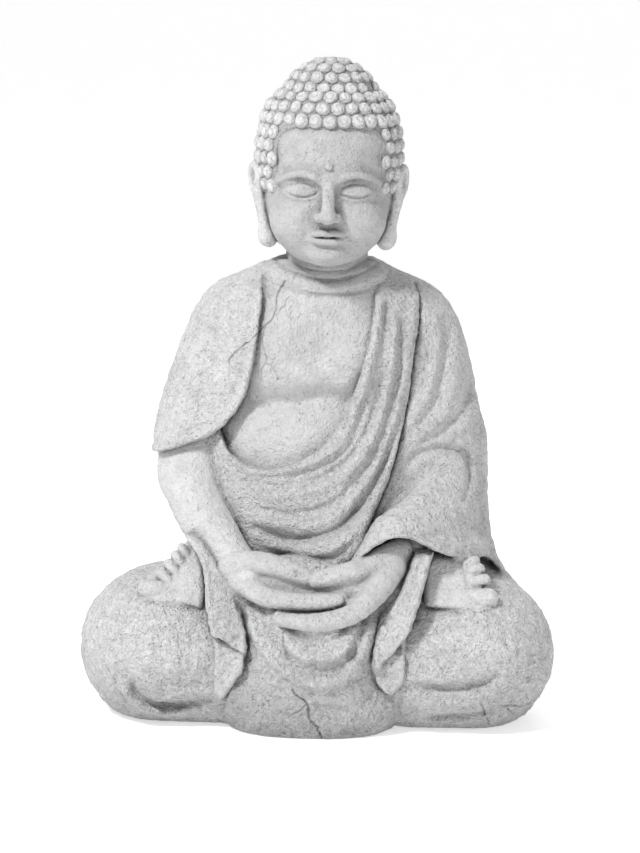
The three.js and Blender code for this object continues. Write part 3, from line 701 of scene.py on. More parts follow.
def f_sash(x, y, z):
    d = f_torso_plain(x, y, z) - F(8.4)
    d = d - F(2.5) * ramp(x, 20, 60) * ramp(z, 150, 210)
    d = smin(d, ROBE(x, y, z) - (F(1.4) + F(1.6) * ramp(-z, -280, -200)) * ramp(x, 40, 62) + F(9) * ramp(-x, -34, -12), 6)
    d = smin(d, ell(x, y, z, (22, -48, 136), (36, 25, 24)), 14)
    d = d - sash_folds(x, z) * ramp(-y, -20, 4) * F(1.15)
    e = sash_area(x, z)
    d = smax(d, e, 2.0)
    d = smax(d, ROBE(x, y, z) - F(2.2) * ramp(-z, -340, -318) - F(110) * ramp(-z, -326, -270), 5)
    return smax(d, y - F(36), 2)


def f_torso_plain(x, y, z):
    d = TORSO(x, y, z)
    d = smin(d, ell(x, y, z, (30 - 3, -9, 279), (27, 21.5, 23)), 14)
    return smin(d, ell(x, y, z, (-4, 0, 213), (56, 36.5, 20)), 16)


def f_right_arm(x, y, z):
    return smin(RIGHT_ARM(x, y, z), ell(x, y, z, (-108, 12, 176), (17, 18, 22)), 14)


def knit(fields, x, y, z, k):
    d = None
    for f in fields:
        v = f(x, y, z)
        d = v if d is None else smin(d, v, k)
    return d


def f_right_hand(x, y, z):
    fingers = knit([HAND_R[n] for n in ("index", "middle", "ring", "little")], x, y, z, 1.4)
    palm = ell(x, y, z, (-50, -77, 110), (20, 14, 9.5), turn(0, 14, -18))
    palm = smin(palm, ell(x, y, z, (-57, -74, 117), (14, 12, 10)), 8)
    d = smin(fingers, palm, 5)
    d = smin(d, HAND_R["thumb"](x, y, z), 3.5)
    d = smin(d, ell(x, y, z, (-26, -82, 112), (25, 8.5, 9.5), turn(0, 10, 0)), 3)
    # thumbnail
    nail = ell(x, y, z, (-13.5, -95.9, 121.5), (5.0, 2.4, 3.4), turn(0, 16, 0))
    d = smax(d, -(nail), 1.0)
    return d


def f_left_hand(x, y, z):
    fingers = knit([HAND_L[n] for n in ("index", "middle", "ring", "little")], x, y, z, 1.4)
    palm = ell(x, y, z, (43, -80, 113.5), (21, 15, 9.6), turn(0, -38, 16))
    palm = smin(palm, ell(x, y, z, (52.5, -70, 126.5), (11.5, 12, 11.5)), 8)
    d = smin(fingers, palm, 5)
    d = smin(d, HAND_L["thumb"](x, y, z), 3.5)
    d = smin(d, ell(x, y, z, (19, -82.5, 107.5), (22, 8.5, 10.5), turn(0, -14, 0)), 3)
    nail = ell(x, y, z, (3.5, -96.1, 119.6), (5.0, 2.4, 3.4), turn(0, -14, 0))
    d = smax(d, -(nail), 1.0)
    return d


def sole(x, y, z, area, pads, furrow):
    d = (y - sole_y(z)) * F(-0.808)
    swell = F(0.0)
    for px, pz, w, h in pads:
        swell = swell + F(h) * np.exp(-(((x - F(px)) / F(w)) ** 2) - ((z - F(pz)) / F(w)) ** 2)
    d = d - swell + F(1.6) * bell(line_distance(x, z, furrow), 2.0)
    d = smax(d, area(x, z), 5.0)
    return smax(d, (y - sole_y(z)) - F(32), 2)


def f_left_foot(x, y, z):
    d = sole(x, y, z, left_sole, [(-95, 103, 9, 1.6), (-115, 100, 9, 1.2)], [(-126, 109), (-115.1, 108.6), (-107.5, 115.5), (-97, 128)])
    for t in LEFT_TOES:
        d = smin(d, t(x, y, z), 1.3)
    return d


def f_right_foot(x, y, z):
    d = sole(x, y, z, right_sole, [(90, 106, 10, 1.6), (110, 100, 9, 1.2)], [(105, 127), (108.2, 121.8), (110.5, 116.2), (112, 110.6), (117, 107)])
    for t in RIGHT_TOES:
        d = smin(d, t(x, y, z), 1.3)
    return d


BODY = [
    # name, group, field, low corner, high corner
    ("torso", "core", f_torso, (-102, -60, 106), (100, 92, 348)),
    ("seat", "core2", hips, (-126, -32, -12), (126, 122, 146)),
    ("robe_back", "robe", f_robe_back, (-136, 6, 112), (136, 116, 354)),
    ("right_sleeve", "robe", f_right_sleeve, (-136, -42, 186), (-40, 44, 354)),
    ("left_sleeve", "robe", f_left_sleeve, (8, -96, 92), (152, 44, 354)),
    ("robe_sash", "sash", f_sash, (-104, -84, 108), (80, 44, 354)),
    ("right_arm", "arm_r", f_right_arm, (-130, -98, 96), (-30, 44, 262)),
    ("left_arm", "arm_l", LEFT_ARM, (28, -102, 98), (110, -2, 160)),
    ("right_hand", "hand_r", f_right_hand, (-82, -112, 86), (28, -52, 142)),
    ("left_hand", "hand_l", f_left_hand, (-38, -116, 76), (78, -52, 154)),
    ("right_leg", "leg_r", leg_r, (-188, -112, -14), (8, 92, 120)),
    ("left_leg", "leg_l", leg_l, (-8, -112, -14), (188, 92, 140)),
    ("left_foot", "foot_l", f_left_foot, (-144, -90, 84), (-78, -36, 140)),
    ("right_foot", "foot_r", f_right_foot, (72, -90, 86), (142, -36, 138)),
    ("front_apron", "apron", f_apron, (-82, -124, -12), (72, -4, 134)),
    ("right_robe_edge", "edge_r", f_right_end, (-108, -122, 12), (-44, -28, 152)),
    ("left_robe_edge", "edge_l", f_left_end, (36, -122, 44), (90, -28, 142)),
]
BLEND = {"core2": 6.0, "leg_r": 5.0, "leg_l": 5.0, "apron": 3.5, "hand_r": 1.6, "hand_l": 1.6, "foot_l": 2.2, "foot_r": 2.2, "arm_r": 1.6, "sash": 0.9, "robe": 1.2, "edge_r": 1.2, "edge_l": 1.2, "arm_l": 4.0}
FAR = F(40)


def body_fields(x, y, z, sections=BODY, margin=14.0):
    """The joined field, and which section is nearest the surface at each point."""
    n = len(x)
    label = np.zeros(n, np.int16)
    near = np.full(n, 1e3, F)
    groups = {}
    lo = (float(x.min()), float(y.min()), float(z.min()))
    hi = (float(x.max()), float(y.max()), float(z.max()))
    for i, (name, group, field, a, b) in enumerate(sections):
        if any(hi[c] < a[c] - margin or lo[c] > b[c] + margin for c in range(3)):
            continue
        inside = np.ones(n, bool)
        for v, c in ((x, 0), (y, 1), (z, 2)):
            inside &= (v > a[c] - margin) & (v < b[c] + margin)
        w = np.flatnonzero(inside)
        if not len(w):
            continue
        if len(w) == n:
            d = field(x, y, z)
        else:
            d = np.full(n, FAR, F)
            d[w] = field(x[w], y[w], z[w])
        better = d < near
        near[better] = d[better]
        label[better] = i
        groups[group] = d if group not in groups else np.minimum(groups[group], d)
    total = None
    for g, d in groups.items():
        total = d if total is None else smin(total, d, BLEND.get(g, 3.0))
    if total is None:
        total = np.full(n, FAR, F)
    return total, label


def body_total(x, y, z):
    d, label = body_fields(x, y, z)
    # the ground is the flat underside
    return smax(d, -z, 2.0), label


# ------------------------------------------------------------------ head
HEAD_PIVOT = (17.0, 345.0)


def untilt(x, y, z):
    c, s = F(math.cos(FACE_TILT)), F(math.sin(FACE_TILT))
    yy, zz = y - F(HEAD_PIVOT[0]), z - F(HEAD_PIVOT[1])
    # the head is bowed forward: undo that
    return x, c * yy + s * zz + F(HEAD_PIVOT[0]), -s * yy + c * zz + F(HEAD_PIVOT[1])


def tilt_point(p):
    c, s = math.cos(FACE_TILT), math.sin(FACE_TILT)
    yy, zz = p[1] - HEAD_PIVOT[0], p[2] - HEAD_PIVOT[1]
    return (p[0], c * yy - s * zz + HEAD_PIVOT[0], s * yy + c * zz + HEAD_PIVOT[1])


SKULL = Stack(
    [
        [340, 0, -14, 14, 13, 20, 2.0],
        [346, 0, -12, 25, 24, 30, 2.05],
        [356, 0, -6, 35.5, 33.5, 40, 2.1],
        [368, 0, 1, 42, 41.5, 48, 2.1],
        [382, 0, 7, 46.5, 47.5, 52, 2.12],
        [398, 0, 11, 49, 51.5, 54, 2.12],
        [412, 0, 13, 50.5, 54, 54, 2.12],
        [428, 0, 14, 51, 55.5, 54, 2.1],
        [442, 0, 14, 50.5, 53, 52, 2.1],
        [454, 0, 15, 46, 46, 47, 2.05],
        [464, 0, 16, 36, 35, 37, 2.0],
        [470, 0, 16, 24, 24, 25, 2.0],
    ],
    5,
)
NECK = Stack(
    [
        [308, -1, 20, 42, 34, 32, 2],
        [320, -1, 20, 35.5, 32.5, 31, 2],
        [328, 0, 20, 32.5, 31.5, 30, 2],
        [340, 0, 19, 31.5, 30, 30, 2],
        [352, 0, 19, 31.5, 28, 31, 2],
        [376, 0, 19, 31, 26, 32, 2],
    ],
    3,
)
HAIR = Stack(
    [
        [350, 0, 27, 31, 24, 33, 2],
        [358, 0, 25, 37, 28, 39, 2],
        [372, 0, 21.5, 45, 38, 47.5, 2],
        [388, 0, 18, 50.5, 47, 54, 2.03],
        [404, 0, 16, 53, 53.5, 57, 2.06],
        [420, 0, 15.5, 54.3, 56.6, 58, 2.08],
        [436, 0, 15.5, 54, 56.5, 57.6, 2.08],
        [450, 0, 16, 51.6, 52.5, 54, 2.05],
        [461, 0, 16.5, 47.6, 47.5, 50, 2.0],
        [469, 0, 17, 42, 41.0, 44, 2.0],
        [475, 0, 17, 35, 34, 36, 2.0],
        [479, 0, 17, 26, 26, 28, 2.0],
    ],
    6,
)
NOSE = Tube([[0, -40.0, 413, 4.4], [0, -45.4, 401, 4.4], [0, -50.0, 389, 4.7], [0, -51.8, 383, 5.4]], 3)
BROW = Tube([[6, -41.2, 411.0, 2.0], [12, -42.6, 414.6, 2.2], [21, -41.0, 416.4, 2.3], [30, -35.8, 414.0, 2.1], [38, -27, 408.5, 1.7]], 3)
UPPER_LIP = Tube([[0, -42.8, 367.9, 2.4], [3.8, -43.4, 369.0, 2.7], [8.5, -41.8, 368.3, 2.5], [13.5, -38.2, 366.9, 1.7]], 3)
LOWER_LIP = Tube([[0, -42.2, 361.8, 3.6], [5, -41.6, 362.1, 3.4], [9.5, -39.8, 363.6, 2.7], [13.5, -37.6, 365.8, 1.6]], 3)
LID = catmull([(7.6, 401.6), (12, 399.2), (19, 397.6), (26, 398.6), (32.5, 401.4)], 3)
LID_FOLD = catmull([(10, 405.6), (15, 408.2), (21, 409), (28, 407.4), (33, 404.4)], 3)
UNDER_EYE = catmull([(11, 395.4), (15, 393.6), (20, 393.0), (26, 394.2), (30, 396.2)], 3)
LIPS = catmull([(0, 365.0), (4, 365.7), (9, 365.4), (15.0, 366.6)], 3)
JAW_LIFT = 0.918  # how much the lower half of the face is shortened


def f_head(x, y, z):
    x, y, z = untilt(x, y, z)
    ax = np.abs(x)
    neck = NECK(x, y, z)
    z0 = z
    z = np.where(z < 412, 412 - (412 - z) * F(1 / JAW_LIFT), z).astype(F)
    d = SKULL(x, y, z)
    # cheeks, jaw and chin
    d = smin(d, ell(ax, y, z, (25, -25, 377), (17, 16, 17)), 14)
    d = smin(d, ell(x, y, z, (0, -30, 351.5), (13, 11, 9)), 9)
    # brow, eye hollow, eyeball with lids closed
    hollow = ell(ax, y, z, (19.5, -48.3, 405.5), (15, 8.3, 8.5))
    d = smax(d, -hollow, 10)
    d = smin(d, BROW(ax, y, z), 6.5)
    ball = ell(ax, y, z, (19.8, -31.6, 402.0), (14.5, 9.2, 9.0))
    d = smin(d, ball, 5.0)
    front = y < -22
    fade = ramp(-ax, -33.5, -29) * ramp(ax, 6.5, 9.5)
    d = d + F(1.25) * bell(line_distance(ax, z, LID), 1.0) * front * fade
    d = d + F(0.5) * bell(line_distance(ax, z, LID_FOLD), 1.1) * front
    d = d + F(0.35) * bell(line_distance(ax, z, UNDER_EYE), 1.1) * front
    # nose
    n = NOSE(x, y, z)
    n = smin(n, ell(x, y, z, (0, -51.4, 383.0), (5.6, 5.6, 5.0)), 3)
    n = smin(n, ell(ax, y, z, (6.6, -45.4, 382.0), (4.0, 6.0, 4.1)), 3.4)
    d = smin(d, n, 4.4)
    d = smax(d, -ell(ax, y, z, (3.8, -49.8, 377.2), (1.6, 2.6, 1.5)), 1.2)
    d = d + F(0.7) * bell(x, 2.0) * bell(z - 373.5, 2.6) * (y < -36)
    # lips
    d = smin(d, smin(UPPER_LIP(ax, y, z), LOWER_LIP(ax, y, z), 0.8), 2.8)
    d = d + F(0.35) * bell(line_distance(ax, z, LIPS), 0.9) * front * ramp(-ax, -17.5, -13)
    d = d + F(0.8) * bell(ax - 16.6, 2.4) * bell(z - 366.4, 2.6) * front
    d = d + F(0.9) * bell(z - 358.8 + ax * ax * F(0.006), 2.6) * bell(x, 12) * (y < -28)
    # small round mark between the brows
    d = smin(d, ell(x, y, z, (0, -42.2, 422), (3.0, 2.0, 3.0)), 0.9)
    # underside of the jaw against the neck, with its creases
    level = z0 - F(337.5) - (y - 20) * F(0.10)
    neck = neck + F(0.7) * bell(level - 5, 1.8)
    return smin(d, neck, 2.6)


def hairline(x, y, z):
    """Negative where there is hair."""
    ax = np.abs(x)
    # the face is an opening with rounded corners; behind it lie the ear and the bare neck
    top = F(450.2) - F(0.0016) * ax * ax
    side = F(38.2) + F(0.035) * (z - F(410))
    face = smax(smax(z - top, ax - side, 17), y + F(2), 3)
    temple = smax(z - F(399), y - F(2), 3)
    ear_ = smax(z - F(388), y - F(15), 3)
    nape = smax(z - F(372), y - F(32), 3)
    return -np.minimum(np.minimum(face, temple), np.minimum(ear_, nape))


def f_hair(x, y, z):
    x, y, z = untilt(x, y, z)
    d = HAIR(x, y, z)
    return smax(d, hairline(x, y, z), 2.0)


CROWN_C, CROWN_R = (0, 17, 464.5), (36.5, 36.5, 33.0)


def f_ushnisha(x, y, z):
    x, y, z = untilt(x, y, z)
    return ell(x, y, z, CROWN_C, CROWN_R)


def ear(side):
    edge = Tube([[50, 2, 391, 3.0], [53.5, 12, 393, 3.2], [57, 19, 401, 3.4], [58.2, 18, 411, 3.4], [56.5, 10, 417.5, 3.2], [53.5, 1, 415, 3.0], [51.5, -3, 408, 2.6]], 3)
    lobe = Tube([[51.5, 6, 396, 4.0, 7.5], [50.0, 4, 384, 4.7, 7.0], [47.4, 2, 373, 5.9, 7.2], [45.4, 1.5, 364.5, 6.7, 7.4]], 3)

    def field(x, y, z):
        x, y, z = untilt(x, y, z)
        u = x * side
        shell = ell(u, y, z, (52, 8, 404), (5.5, 12, 15), None)
        shell = smax(shell, -ell(u, y, z, (58.5, 6, 405), (5.0, 7.5, 9)), 2)
        d = smin(shell, edge(u, y, z), 2.5)
        d = smin(d, smin(lobe(u, y, z), ell(u, y, z, (44.5, 4, 364), (6.8, 7.5, 8.5)), 4), 5)
        # hollow of the long slit lobe
        d = smax(d, -ell(u, y, z, (54.5, 2, 377), (3.0, 3.2, 9)), 2)
        # the lobe's back is joined to the neck
        d = smin(d, ell(u, y, z, (41, 12, 376), (8, 9, 17)), 6)
        return d

    return field


HEAD = [
    ("head", "head", f_head, (-56, -66, 306), (56, 76, 478)),
    ("hair_cap", "hair", f_hair, (-64, -64, 344), (64, 88, 482)),
    ("ushnisha", "crown", f_ushnisha, (-40, -36, 426), (40, 56, 502)),
    ("right_ear", "ear_r", ear(-1), (-66, -16, 350), (-32, 32, 426)),
    ("left_ear", "ear_l", ear(1), (32, -16, 350), (66, 32, 426)),
]


def head_total(x, y, z):
    n = len(x)
    label = np.zeros(n, np.int16)
    near = np.full(n, 1e3, F)
    total = None
    for i, (name, group, field, a, b) in enumerate(HEAD):
        d = field(x, y, z)
        better = d < near
        near[better] = d[better]
        label[better] = i
        total = d if total is None else smin(total, d, 1.4)
    return total, label


# ------------------------------------------------------------------ meshing
def in_parts(total, x, y, z, size=60000):
    """Runs a field over many points on all cores."""
    n = len(x)
    out = np.empty(n, F)
    lab = np.empty(n, np.int16)

    def run(a):
        b = min(a + size, n)
        out[a:b], lab[a:b] = total(x[a:b], y[a:b], z[a:b])

    with ThreadPoolExecutor(4) as pool:
        list(pool.map(run, range(0, n, size)))
    return out, lab


def skin(total, lo, hi, h, block=8):
    """Surface nets over a narrow band: vertices and quads of the zero level."""
    lo = np.array(lo, float)
    cells = np.ceil((np.array(hi) - lo) / (h * block)).astype(int)
    H = h * block
    c = np.stack(np.meshgrid(*[lo[i] + H * (np.arange(cells[i]) + 0.5) for i in range(3)], indexing="ij"), -1).reshape(-1, 3).astype(F)
    dc, _ = in_parts(total, c[:, 0].copy(), c[:, 1].copy(), c[:, 2].copy(), 2000)
    keep = np.abs(dc) < H * 0.87 * 1.25 + 2.5
    D = np.repeat(np.repeat(np.repeat((np.sign(dc) * 50).reshape(cells).astype(F), block, 0), block, 1), block, 2)
    blocks = np.argwhere(keep.reshape(cells))
    o = np.stack(np.meshgrid(*[np.arange(block)] * 3, indexing="ij"), -1).reshape(-1, 3)
    ijk = (blocks[:, None, :] * block + o[None]).reshape(-1, 3).astype(np.int32)
    p = (ijk * h + lo).astype(F)
    d, _ = in_parts(total, p[:, 0].copy(), p[:, 1].copy(), p[:, 2].copy(), 512 * 60)
    D[ijk[:, 0], ijk[:, 1], ijk[:, 2]] = d
    del p, d
    S = D < 0
    n = np.array(D.shape) - 1
    count = np.zeros(n, np.uint8)
    corners = [(i, j, k) for i in (0, 1) for j in (0, 1) for k in (0, 1)]
    for i, j, k in corners:
        count += S[i : i + n[0], j : j + n[1], k : k + n[2]]
    cell = np.argwhere((count > 0) & (count < 8)).astype(np.int32)
    vid = np.full(n, -1, np.int32)
    vid[cell[:, 0], cell[:, 1], cell[:, 2]] = np.arange(len(cell))
    val = {q: D[cell[:, 0] + q[0], cell[:, 1] + q[1], cell[:, 2] + q[2]] for q in corners}
    pos = np.zeros((len(cell), 3), F)
    hits = np.zeros(len(cell), F)
    for q in corners:
        for axis in range(3):
            if q[axis]:
                continue
            r = list(q)
            r[axis] = 1
            a, b = val[q], val[tuple(r)]
            m = (a < 0) != (b < 0)
            t = np.where(m, a / np.where(m, a - b, 1), 0)
            for s in range(3):
                pos[:, s] += m * (q[s] + (t if s == axis else 0))
            hits += m
    pos = (cell + pos / hits[:, None]) * F(h) + lo.astype(F)
    quads = []
    for axis in range(3):
        b, c2 = (axis + 1) % 3, (axis + 2) % 3
        sl0 = [slice(1, -1)] * 3
        sl1 = [slice(1, -1)] * 3
        sl0[axis], sl1[axis] = slice(0, -1), slice(1, None)
        A, B = S[tuple(sl0)], S[tuple(sl1)]
        e = np.argwhere(A != B)
        inside_first = A[e[:, 0], e[:, 1], e[:, 2]]
        e[:, b] += 1
        e[:, c2] += 1

        def at(db, dc_):
            q = e.copy()
            q[:, b] -= db
            q[:, c2] -= dc_
            return vid[q[:, 0], q[:, 1], q[:, 2]]

        quad = np.stack([at(1, 1), at(0, 1), at(0, 0), at(1, 0)], 1)
        quad[~inside_first] = quad[~inside_first][:, ::-1]
        quads.append(quad)
    quads = np.vstack(quads)
    quads = quads[(quads >= 0).all(1)]
    return pos, quads


def settle(total, pos, h, rounds=1):
    """Moves vertices onto the surface; also returns normals, section labels and how open each point is."""
    e = F(0.35 * h)
    for _ in range(rounds):
        x, y, z = (np.ascontiguousarray(pos[:, i]) for i in range(3))
        d, lab = in_parts(total, x, y, z)
        g = np.zeros_like(pos)
        for s in ((1, -1, -1), (-1, -1, 1), (-1, 1, -1), (1, 1, 1)):
            v, _ = in_parts(total, x + e * s[0], y + e * s[1], z + e * s[2])
            for i in range(3):
                g[:, i] += v * s[i]
        g /= 4 * e
        L = np.sqrt((g * g).sum(1)) + F(1e-6)
        move = np.clip(d / L, -0.6 * h, 0.6 * h)
        nrm = g / L[:, None]
        pos = pos - nrm * move[:, None]
    # openness of each point to its surroundings, later painted into the colour as shade
    open_ = np.ones(len(pos), F)
    for dist, weight in ((1.2, 0.34), (3.0, 0.30), (7.0, 0.20), (14.0, 0.12)):
        q = pos + nrm * F(dist)
        v, _ = in_parts(total, *(np.ascontiguousarray(q[:, i]) for i in range(3)))
        open_ -= weight * np.clip(1 - v / (dist * 0.98), 0, 1.2)
    return pos.astype(F), nrm.astype(F), lab, np.clip(open_, 0, 1)


def refine(pos, quads, chosen):
    """Splits the chosen quads into four, sharing new points between neighbours."""
    q = quads[chosen]
    rest = quads[~chosen]
    n = len(pos)
    e = np.stack([q, np.roll(q, -1, 1)], -1).reshape(-1, 2)
    e.sort(axis=1)
    key = e[:, 0].astype(np.int64) * n + e[:, 1]
    uniq, first, inv = np.unique(key, return_index=True, return_inverse=True)
    ends = e[first]
    mid = (pos[ends[:, 0]] + pos[ends[:, 1]]) / 2
    centre = pos[q].mean(1)
    m = n + inv.reshape(-1, 4)
    c = n + len(uniq) + np.arange(len(q))
    new = []
    for k in range(4):
        new.append(np.stack([q[:, k], m[:, k], c, m[:, k - 1]], 1))
    return np.vstack([pos, mid, centre]).astype(F), np.vstack([rest] + new)


def point_normals(pos, quads):
    p = pos.astype(float)
    d1 = p[quads[:, 2]] - p[quads[:, 0]]
    d2 = p[quads[:, 3]] - p[quads[:, 1]]
    fn = np.cross(d1, d2)
    out = np.zeros_like(p)
    for k in range(4):
        for i in range(3):
            out[:, i] += np.bincount(quads[:, k], fn[:, i], len(p))
    out /= np.linalg.norm(out, axis=1)[:, None] + 1e-12
    return out


CRACKS = [
    # from the front: x and z, half width and depth in millimetres
    ([(-30.5, 331), (-33.1, 326.8), (-37.4, 319.9), (-37.2, 309.4), (-40.1, 302.5), (-45.2, 297.1), (-55.6, 287.4), (-63.7, 280), (-69.6, 273.8), (-73, 268)], 0.6, 1.1),
    ([(-28.4, 318.7), (-31, 313), (-34.2, 309.5), (-37.1, 305)], 0.55, 0.8),
    ([(-45, 297), (-46.6, 291.9), (-47.1, 282), (-44, 276), (-44.6, 269.2), (-47.5, 263), (-47, 256)], 0.55, 0.8),
    ([(-43.9, 269.2), (-39.3, 266.3), (-36.1, 261.8), (-34.5, 257.3)], 0.5, 0.7),
    ([(-25.4, 80), (-25.2, 69.3), (-22.6, 64), (-20.2, 60.4)], 0.8, 1.3),
    ([(-17.5, 38), (-14.8, 33.4), (-6.6, 27.6), (-4.9, 17.1), (-0.3, 11.9), (3.2, 6), (5, -2)], 0.8, 1.7),
    ([(-6.6, 27.6), (-12, 22), (-20, 17)], 0.6, 0.8),
    ([(122.6, 27), (123.6, 23.9), (127.7, 14), (131, 5.2)], 0.7, 1.1),
    ([(138, 24), (141, 23.1), (148.4, 22.2), (156, 20.1), (163, 18.5)], 0.7, 1.1),
    ([(143.3, 20), (147.9, 14.5), (151.1, 10.7)], 0.6, 0.9),
    ([(-158, 47), (-151, 37), (-149, 30), (-143, 24)], 0.6, 0.8),
]
SKIN = {"torso", "right_arm", "left_arm", "right_hand", "left_hand", "left_foot", "right_foot", "head", "right_ear", "left_ear"}


def crack_distance(x, z):
    # a little wander, so that the lines are not drawn with a ruler
    jx = noise(x, z * 0, z, 3.1, 3.0) * F(0.7) + noise(x, z * 0, z, 1.3, 9.0) * F(0.3)
    jz = noise(x, z * 0, z, 3.1, 17.0) * F(0.7)
    best = np.full(x.shape, 1e3)
    depth = np.zeros(x.shape)
    for pts, width, deep in CRACKS:
        p = catmull(pts, 3)
        lo, hi = p.min(0) - 8, p.max(0) + 8
        w = np.flatnonzero((x > lo[0]) & (x < hi[0]) & (z > lo[1]) & (z < hi[1]))
        if not len(w):
            continue
        d = line_distance(x[w] + jx[w], z[w] + jz[w], p)
        best[w] = np.minimum(best[w], d)
        depth[w] = np.maximum(depth[w], deep * np.exp(-((d / width) ** 2)))
    return best, depth


def build_body():
    lo, hi = (-186.0, -124.0, -6.0), (186.0, 124.0, 352.0)
    pos, quads = skin(body_total, lo, hi, BODY_STEP)
    pos, nrm, lab, open_ = settle(body_total, pos, BODY_STEP)
    levels = 2
    for level in range(levels):
        c = pos[quads].mean(1)
        facing = nrm[quads[:, 0], 1] < -0.1
        d, _ = crack_distance(c[:, 0], c[:, 2])
        chosen = (d < (4.2 if level == 0 else 2.4)) & facing & (c[:, 1] < 10)
        pos, quads = refine(pos, quads, chosen)
        pos, nrm, lab, open_ = settle(body_total, pos, BODY_STEP / 2 ** (level + 1))
    x, y, z = (np.ascontiguousarray(pos[:, i]) for i in range(3))
    names = np.array([s[0] for s in BODY])
    bare = np.isin(names, list(SKIN))[lab].astype(F)
    grain = 1 - F(0.75) * bare
    rough = (
        noise(x, y, z, 15.0, 1.0) * F(0.45)
        + noise(x, y, z, 6.5, 2.0) * F(0.36)
        + noise(x, y, z, 3.4, 4.0) * F(0.24)
    ) * grain
    # the legs and the cloth over the ankles are the coarsest
    low = ramp(-z, -120, -60)
    rough = rough + (F(0.3) - np.abs(noise(x, y, z, 7.0, 21.0))) * (F(0.8) + F(0.8) * low) * (1 - bare)
    rough = rough + (F(0.3) - np.abs(noise(x, y, z, 4.2, 31.0))) * (F(0.5) + F(0.5) * low) * (1 - bare)
    rough = rough + (noise(x, y, z, 9.0, 6.0) * F(0.6) + noise(x, y, z, 4.6, 13.0) * F(0.42)) * low * (1 - bare)
    away = np.clip(z / 4, 0, 1)  # the underside stays flat
    _, cut = crack_distance(x, z)
    cut = cut * (nrm[:, 1] < -0.1) * (y < 10)
    # crumbled edge at the foot of the cloth
    crumble = np.clip(noise(x, y, z, 5.0, 8.0) - 0.25, 0, 1) * ramp(-z, -16, -3) * (y < -60) * F(2.2)
    pos = pos + nrm * ((rough - crumble) * away - cut)[:, None].astype(F)
    flat = z < 0.35
    pos[flat, 2] = np.minimum(pos[flat, 2], z[flat])
    pos[:, 2] = np.maximum(pos[:, 2], 0)
    # painted shade inside the cracks: their openness is lowered
    open_ = open_ * (1 - F(0.55) * np.clip(cut / 1.2, 0, 1).astype(F))
    return pos, quads, lab, open_, bare, [s[0] for s in BODY]


def build_head():
    lo, hi = (-68.0, -72.0, 308.0), (68.0, 84.0, 506.0)
    pos, quads = skin(head_total, lo, hi, HEAD_STEP)
    pos, nrm, lab, open_ = settle(head_total, pos, HEAD_STEP)
    x, y, z = (np.ascontiguousarray(pos[:, i]) for i in range(3))
    names = np.array([s[0] for s in HEAD])
    bare = np.isin(names, list(SKIN))[lab].astype(F)
    rough = noise(x, y, z, 9.0, 1.0) * F(0.16) + noise(x, y, z, 3.6, 2.0) * F(0.09)
    rough = rough + noise(x, y, z, 2.4, 5.0) * F(0.35) * (1 - bare)
    pos = pos + nrm * rough[:, None]
    # painted shade: the hair's surface between the curls is made much less open, so it is painted darker
    open_ = np.where(bare > 0.5, open_, open_ * F(0.36))
    return pos, quads, lab, open_, bare, [s[0] for s in HEAD]


# ------------------------------------------------------------------ curls
def surface_point(field, p, n, reach=14.0):
    """Walks from p along -n until the field is zero."""
    q = p.copy()
    for _ in range(12):
        d = field(*(np.ascontiguousarray(q[:, i], F) for i in range(3)))
        q = q - n * np.clip(d, -reach, reach)[:, None] * 0.9
    return q


def field_normal(field, p, e=0.4):
    g = np.zeros_like(p)
    for i in range(3):
        for s in (1, -1):
            q = p.copy()
            q[:, i] += s * e
            g[:, i] += s * field(*(np.ascontiguousarray(q[:, k], F) for k in range(3)))
    return g / (np.linalg.norm(g, axis=1)[:, None] + 1e-9)


